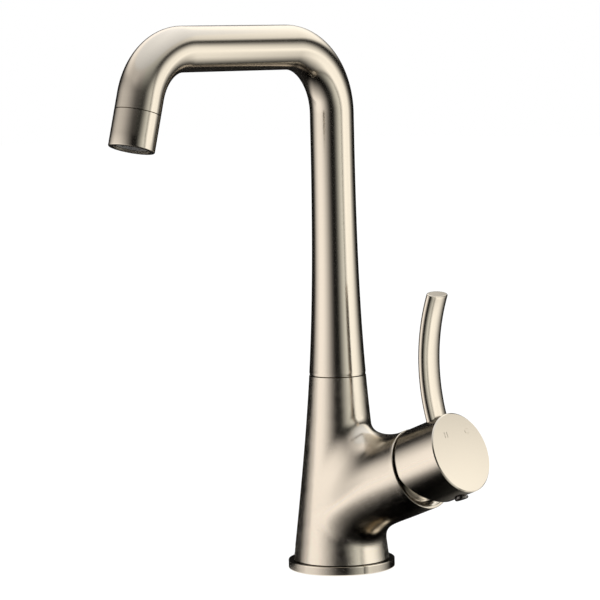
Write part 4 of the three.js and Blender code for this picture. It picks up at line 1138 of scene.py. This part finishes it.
def engraved_marks(handle, place):
    """Cutters for a plain H and C on the hub's face."""
    low, high = handle.hub_face - handle.mark_depth, handle.hub_face + 0.0005
    stroke, half = handle.mark_stroke / 2, handle.mark_height / 2
    up, left, right = handle.mark_up, -handle.mark_left, handle.mark_right
    upright, crossbar = half * 0.62, half * 0.6
    marks = []
    for y in (left - upright, left + upright):
        marks.append(block_mesh(place, (-up - half, y - stroke, low), (-up + half, y + stroke, high)))
    # The crossbar's faces keep clear of the uprights' own, so that the cut is a clean one.
    start = (-up - stroke, left - crossbar, low + 0.00001)
    marks.append(block_mesh(place, start, (-up + stroke, left + crossbar, high - 0.0001)))
    middle = place @ Matrix.Translation((-up, right, 0))
    marks.append(arc_mesh(middle, half - 2 * stroke, half, low, high, 45, 315))
    return marks


def handle_hub(handle, place):
    """The drum, with the boss that holds the stem, a rib, the screw's hole and the marks."""
    inner, back = handle.hub_radius - handle.hub_wall, handle.hub_face - handle.face_thickness
    depth = handle.lever_depth
    # Where pieces that are joined would share a face, one of them stands a little further in.
    boss_start, boss_radius, boss_end = 0.08, 0.00748, back + 0.0005
    rib_start, rib, rib_side, rib_end = 0.0801, 0.0055, inner + 0.0003, back + 0.0004
    stem, stem_end = 0.0043, back - 0.0015

    def way_out(start, end, radius):
        """A cutter that runs from the stem straight down through the wall."""
        return rod_mesh(place @ Vector((start, 0, depth)), place @ Vector((end, 0, depth)), radius)

    boss = rod_mesh(place @ (Z * boss_start), place @ (Z * boss_end), boss_radius, 64)
    rib_block = block_mesh(place, (-rib_side, -rib, rib_start), (rib_side, rib, rib_end))
    mesh = combined(drum(handle, place), [boss, rib_block], "UNION")
    socket = block_mesh(place, (-stem, -stem, boss_start - OVERRUN), (stem, stem, stem_end))
    screw_way = way_out(start=0.004, end=0.021, radius=0.0027)
    plug_way = way_out(start=0.016, end=0.0235, radius=0.0033)
    mesh = combined(mesh, [socket, screw_way, plug_way, *engraved_marks(handle, place)], "DIFFERENCE")
    tidy(mesh)
    return mesh


def set_screw_plug(handle, place):
    """The button under the hub, with a peg that goes into its wall."""
    peg, peg_end = 0.003, handle.hub_radius - 0.005
    under, r = handle.hub_radius + GAP, handle.plug_radius
    cap, bevel, round_edge = under + handle.plug_cap, 0.0001, 0.0006
    outline = [(0, peg_end), (peg, peg_end), (peg, under), (r - bevel, under), (r, under + bevel)]
    outline += [(r, cap - round_edge), (r - round_edge * 0.3, cap - round_edge * 0.4), (r - round_edge, cap)]
    outline += [(r * 0.4, cap), (0, cap)]
    turn = place @ Matrix.Translation((0, 0, handle.lever_depth)) @ Matrix.Rotation(math.pi / 2, 4, "Y")
    return turned("set_screw_plug", outline, turn, 64, closed=False)


class FAUCET_OT_hub(bpy.types.Operator):
    """Builds the handle's drum with its slanted skirt, and its plug"""

    bl_idname = "faucet.hub"
    bl_label = "Handle hub"

    def execute(self, context):
        handle, place = sizes("handle"), branch_place()
        place_piece("handle_hub", handle_hub(handle, place), "handle", "tube")
        place_piece("set_screw_plug", set_screw_plug(handle, place), "handle", "plug")
        return {"FINISHED"}


def handle_lever(handle):
    """An oval bar along an arc, from the hub's round wall up to a flat tip."""
    steps, deepest, highest, clearance = 48, -0.006, 0.004, 0.00004
    foot = on_branch(handle.lever_depth, handle.hub_radius)
    to_branch = branch_place().inverted()

    def centre(rise):
        return math.sqrt(handle.lever_bend**2 - (rise - handle.lever_bend_rise) ** 2)

    def station(rise):
        out = handle.lever_foot_out + centre(0) - centre(rise)
        way = Vector((rise - handle.lever_bend_rise, 0, centre(rise))).normalized()
        return Vector((foot.x + out, 0, foot.z + rise)), way

    def oval(at, way, turn, less=0.0):
        back = way.cross(Y).normalized()
        wide, thick = handle.lever_width - less, handle.lever_thickness - less
        return at + Y * (wide * math.cos(turn)) + back * (thick * math.sin(turn))

    def clear_of_hub(turn):
        """The least rise at which this line of the bar is out of the hub."""

        def inside(rise):
            p = to_branch @ oval(*station(rise), turn)
            return math.hypot(p.x, p.y) < handle.hub_radius + clearance

        return halved(deepest, highest, 30, inside)[1]

    turns = all_round(64)
    lows = [clear_of_hub(a) for a in turns]
    top = handle.lever_length - handle.lever_round
    rows = [[foot + Z * 0.0003] * len(turns)]
    for i in range(steps + 1):
        rows.append([oval(*station(low + (top - low) * i / steps), a) for low, a in zip(lows, turns)])
    at, way = station(top)
    for angle in (15, 30, 45, 60, 75, 90):
        a = math.radians(angle)
        less = handle.lever_round * (1 - math.cos(a))
        rows.append([oval(at + way * (handle.lever_round * math.sin(a)), way, t, less) for t in turns])
    # The flat tip: two smaller ovals, and a short line that closes it.
    middle = at + way * handle.lever_round
    for less in (handle.lever_round + 0.0003, handle.lever_thickness - 0.001):
        rows.append([oval(middle, way, t, less) for t in turns])
    rows.append([middle + Y * (0.003 * math.cos(t)) for t in turns])
    return grid_mesh("handle_lever", rows)


class FAUCET_OT_lever(bpy.types.Operator):
    """Builds the curved oval bar on top of the hub"""

    bl_idname = "faucet.lever"
    bl_label = "Handle lever"

    def execute(self, context):
        place_piece("handle_lever", handle_lever(sizes("handle")), "handle", "tube")
        return {"FINISHED"}


class FAUCET_PT_panel(bpy.types.Panel):
    """Lists the faucet's pieces"""

    bl_idname = "FAUCET_PT_panel"
    bl_label = "Gooseneck Bar Faucet"
    bl_space_type = "VIEW_3D"
    bl_region_type = "UI"
    bl_category = "Faucet"

    def draw(self, context):
        for operator in OPERATORS:
            self.layout.operator(operator.bl_idname)
        for name in GROUPS:
            box = self.layout.box()
            box.label(text=name.capitalize())
            group = sizes(name)
            for key in group.__annotations__:
                box.prop(group, key)


GROUPS = {
    "body": FaucetBodySizes,
    "spout": FaucetSpoutSizes,
    "handle": FaucetHandleSizes,
    "finish": FaucetFinish,
    "studio": FaucetStudio,
}
OPERATORS = (
    FAUCET_OT_finishes,
    FAUCET_OT_stage,
    FAUCET_OT_body,
    FAUCET_OT_flange,
    FAUCET_OT_spout,
    FAUCET_OT_bonnet,
    FAUCET_OT_hub,
    FAUCET_OT_lever,
)


def register():
    for item in (*GROUPS.values(), *OPERATORS, FAUCET_PT_panel):
        bpy.utils.register_class(item)
    for name, group in GROUPS.items():
        setattr(bpy.types.Scene, "faucet_" + name, PointerProperty(type=group))


def unregister():
    for name in GROUPS:
        delattr(bpy.types.Scene, "faucet_" + name)
    for item in reversed((*GROUPS.values(), *OPERATORS, FAUCET_PT_panel)):
        bpy.utils.unregister_class(item)


def main():
    register()
    bpy.ops.faucet.finishes()
    bpy.ops.faucet.stage()
    bpy.ops.faucet.body()
    bpy.ops.faucet.flange()
    bpy.ops.faucet.spout()
    bpy.ops.faucet.bonnet()
    bpy.ops.faucet.hub()
    bpy.ops.faucet.lever()
    bpy.context.view_layer.update()


if __name__ == "__main__":
    main()
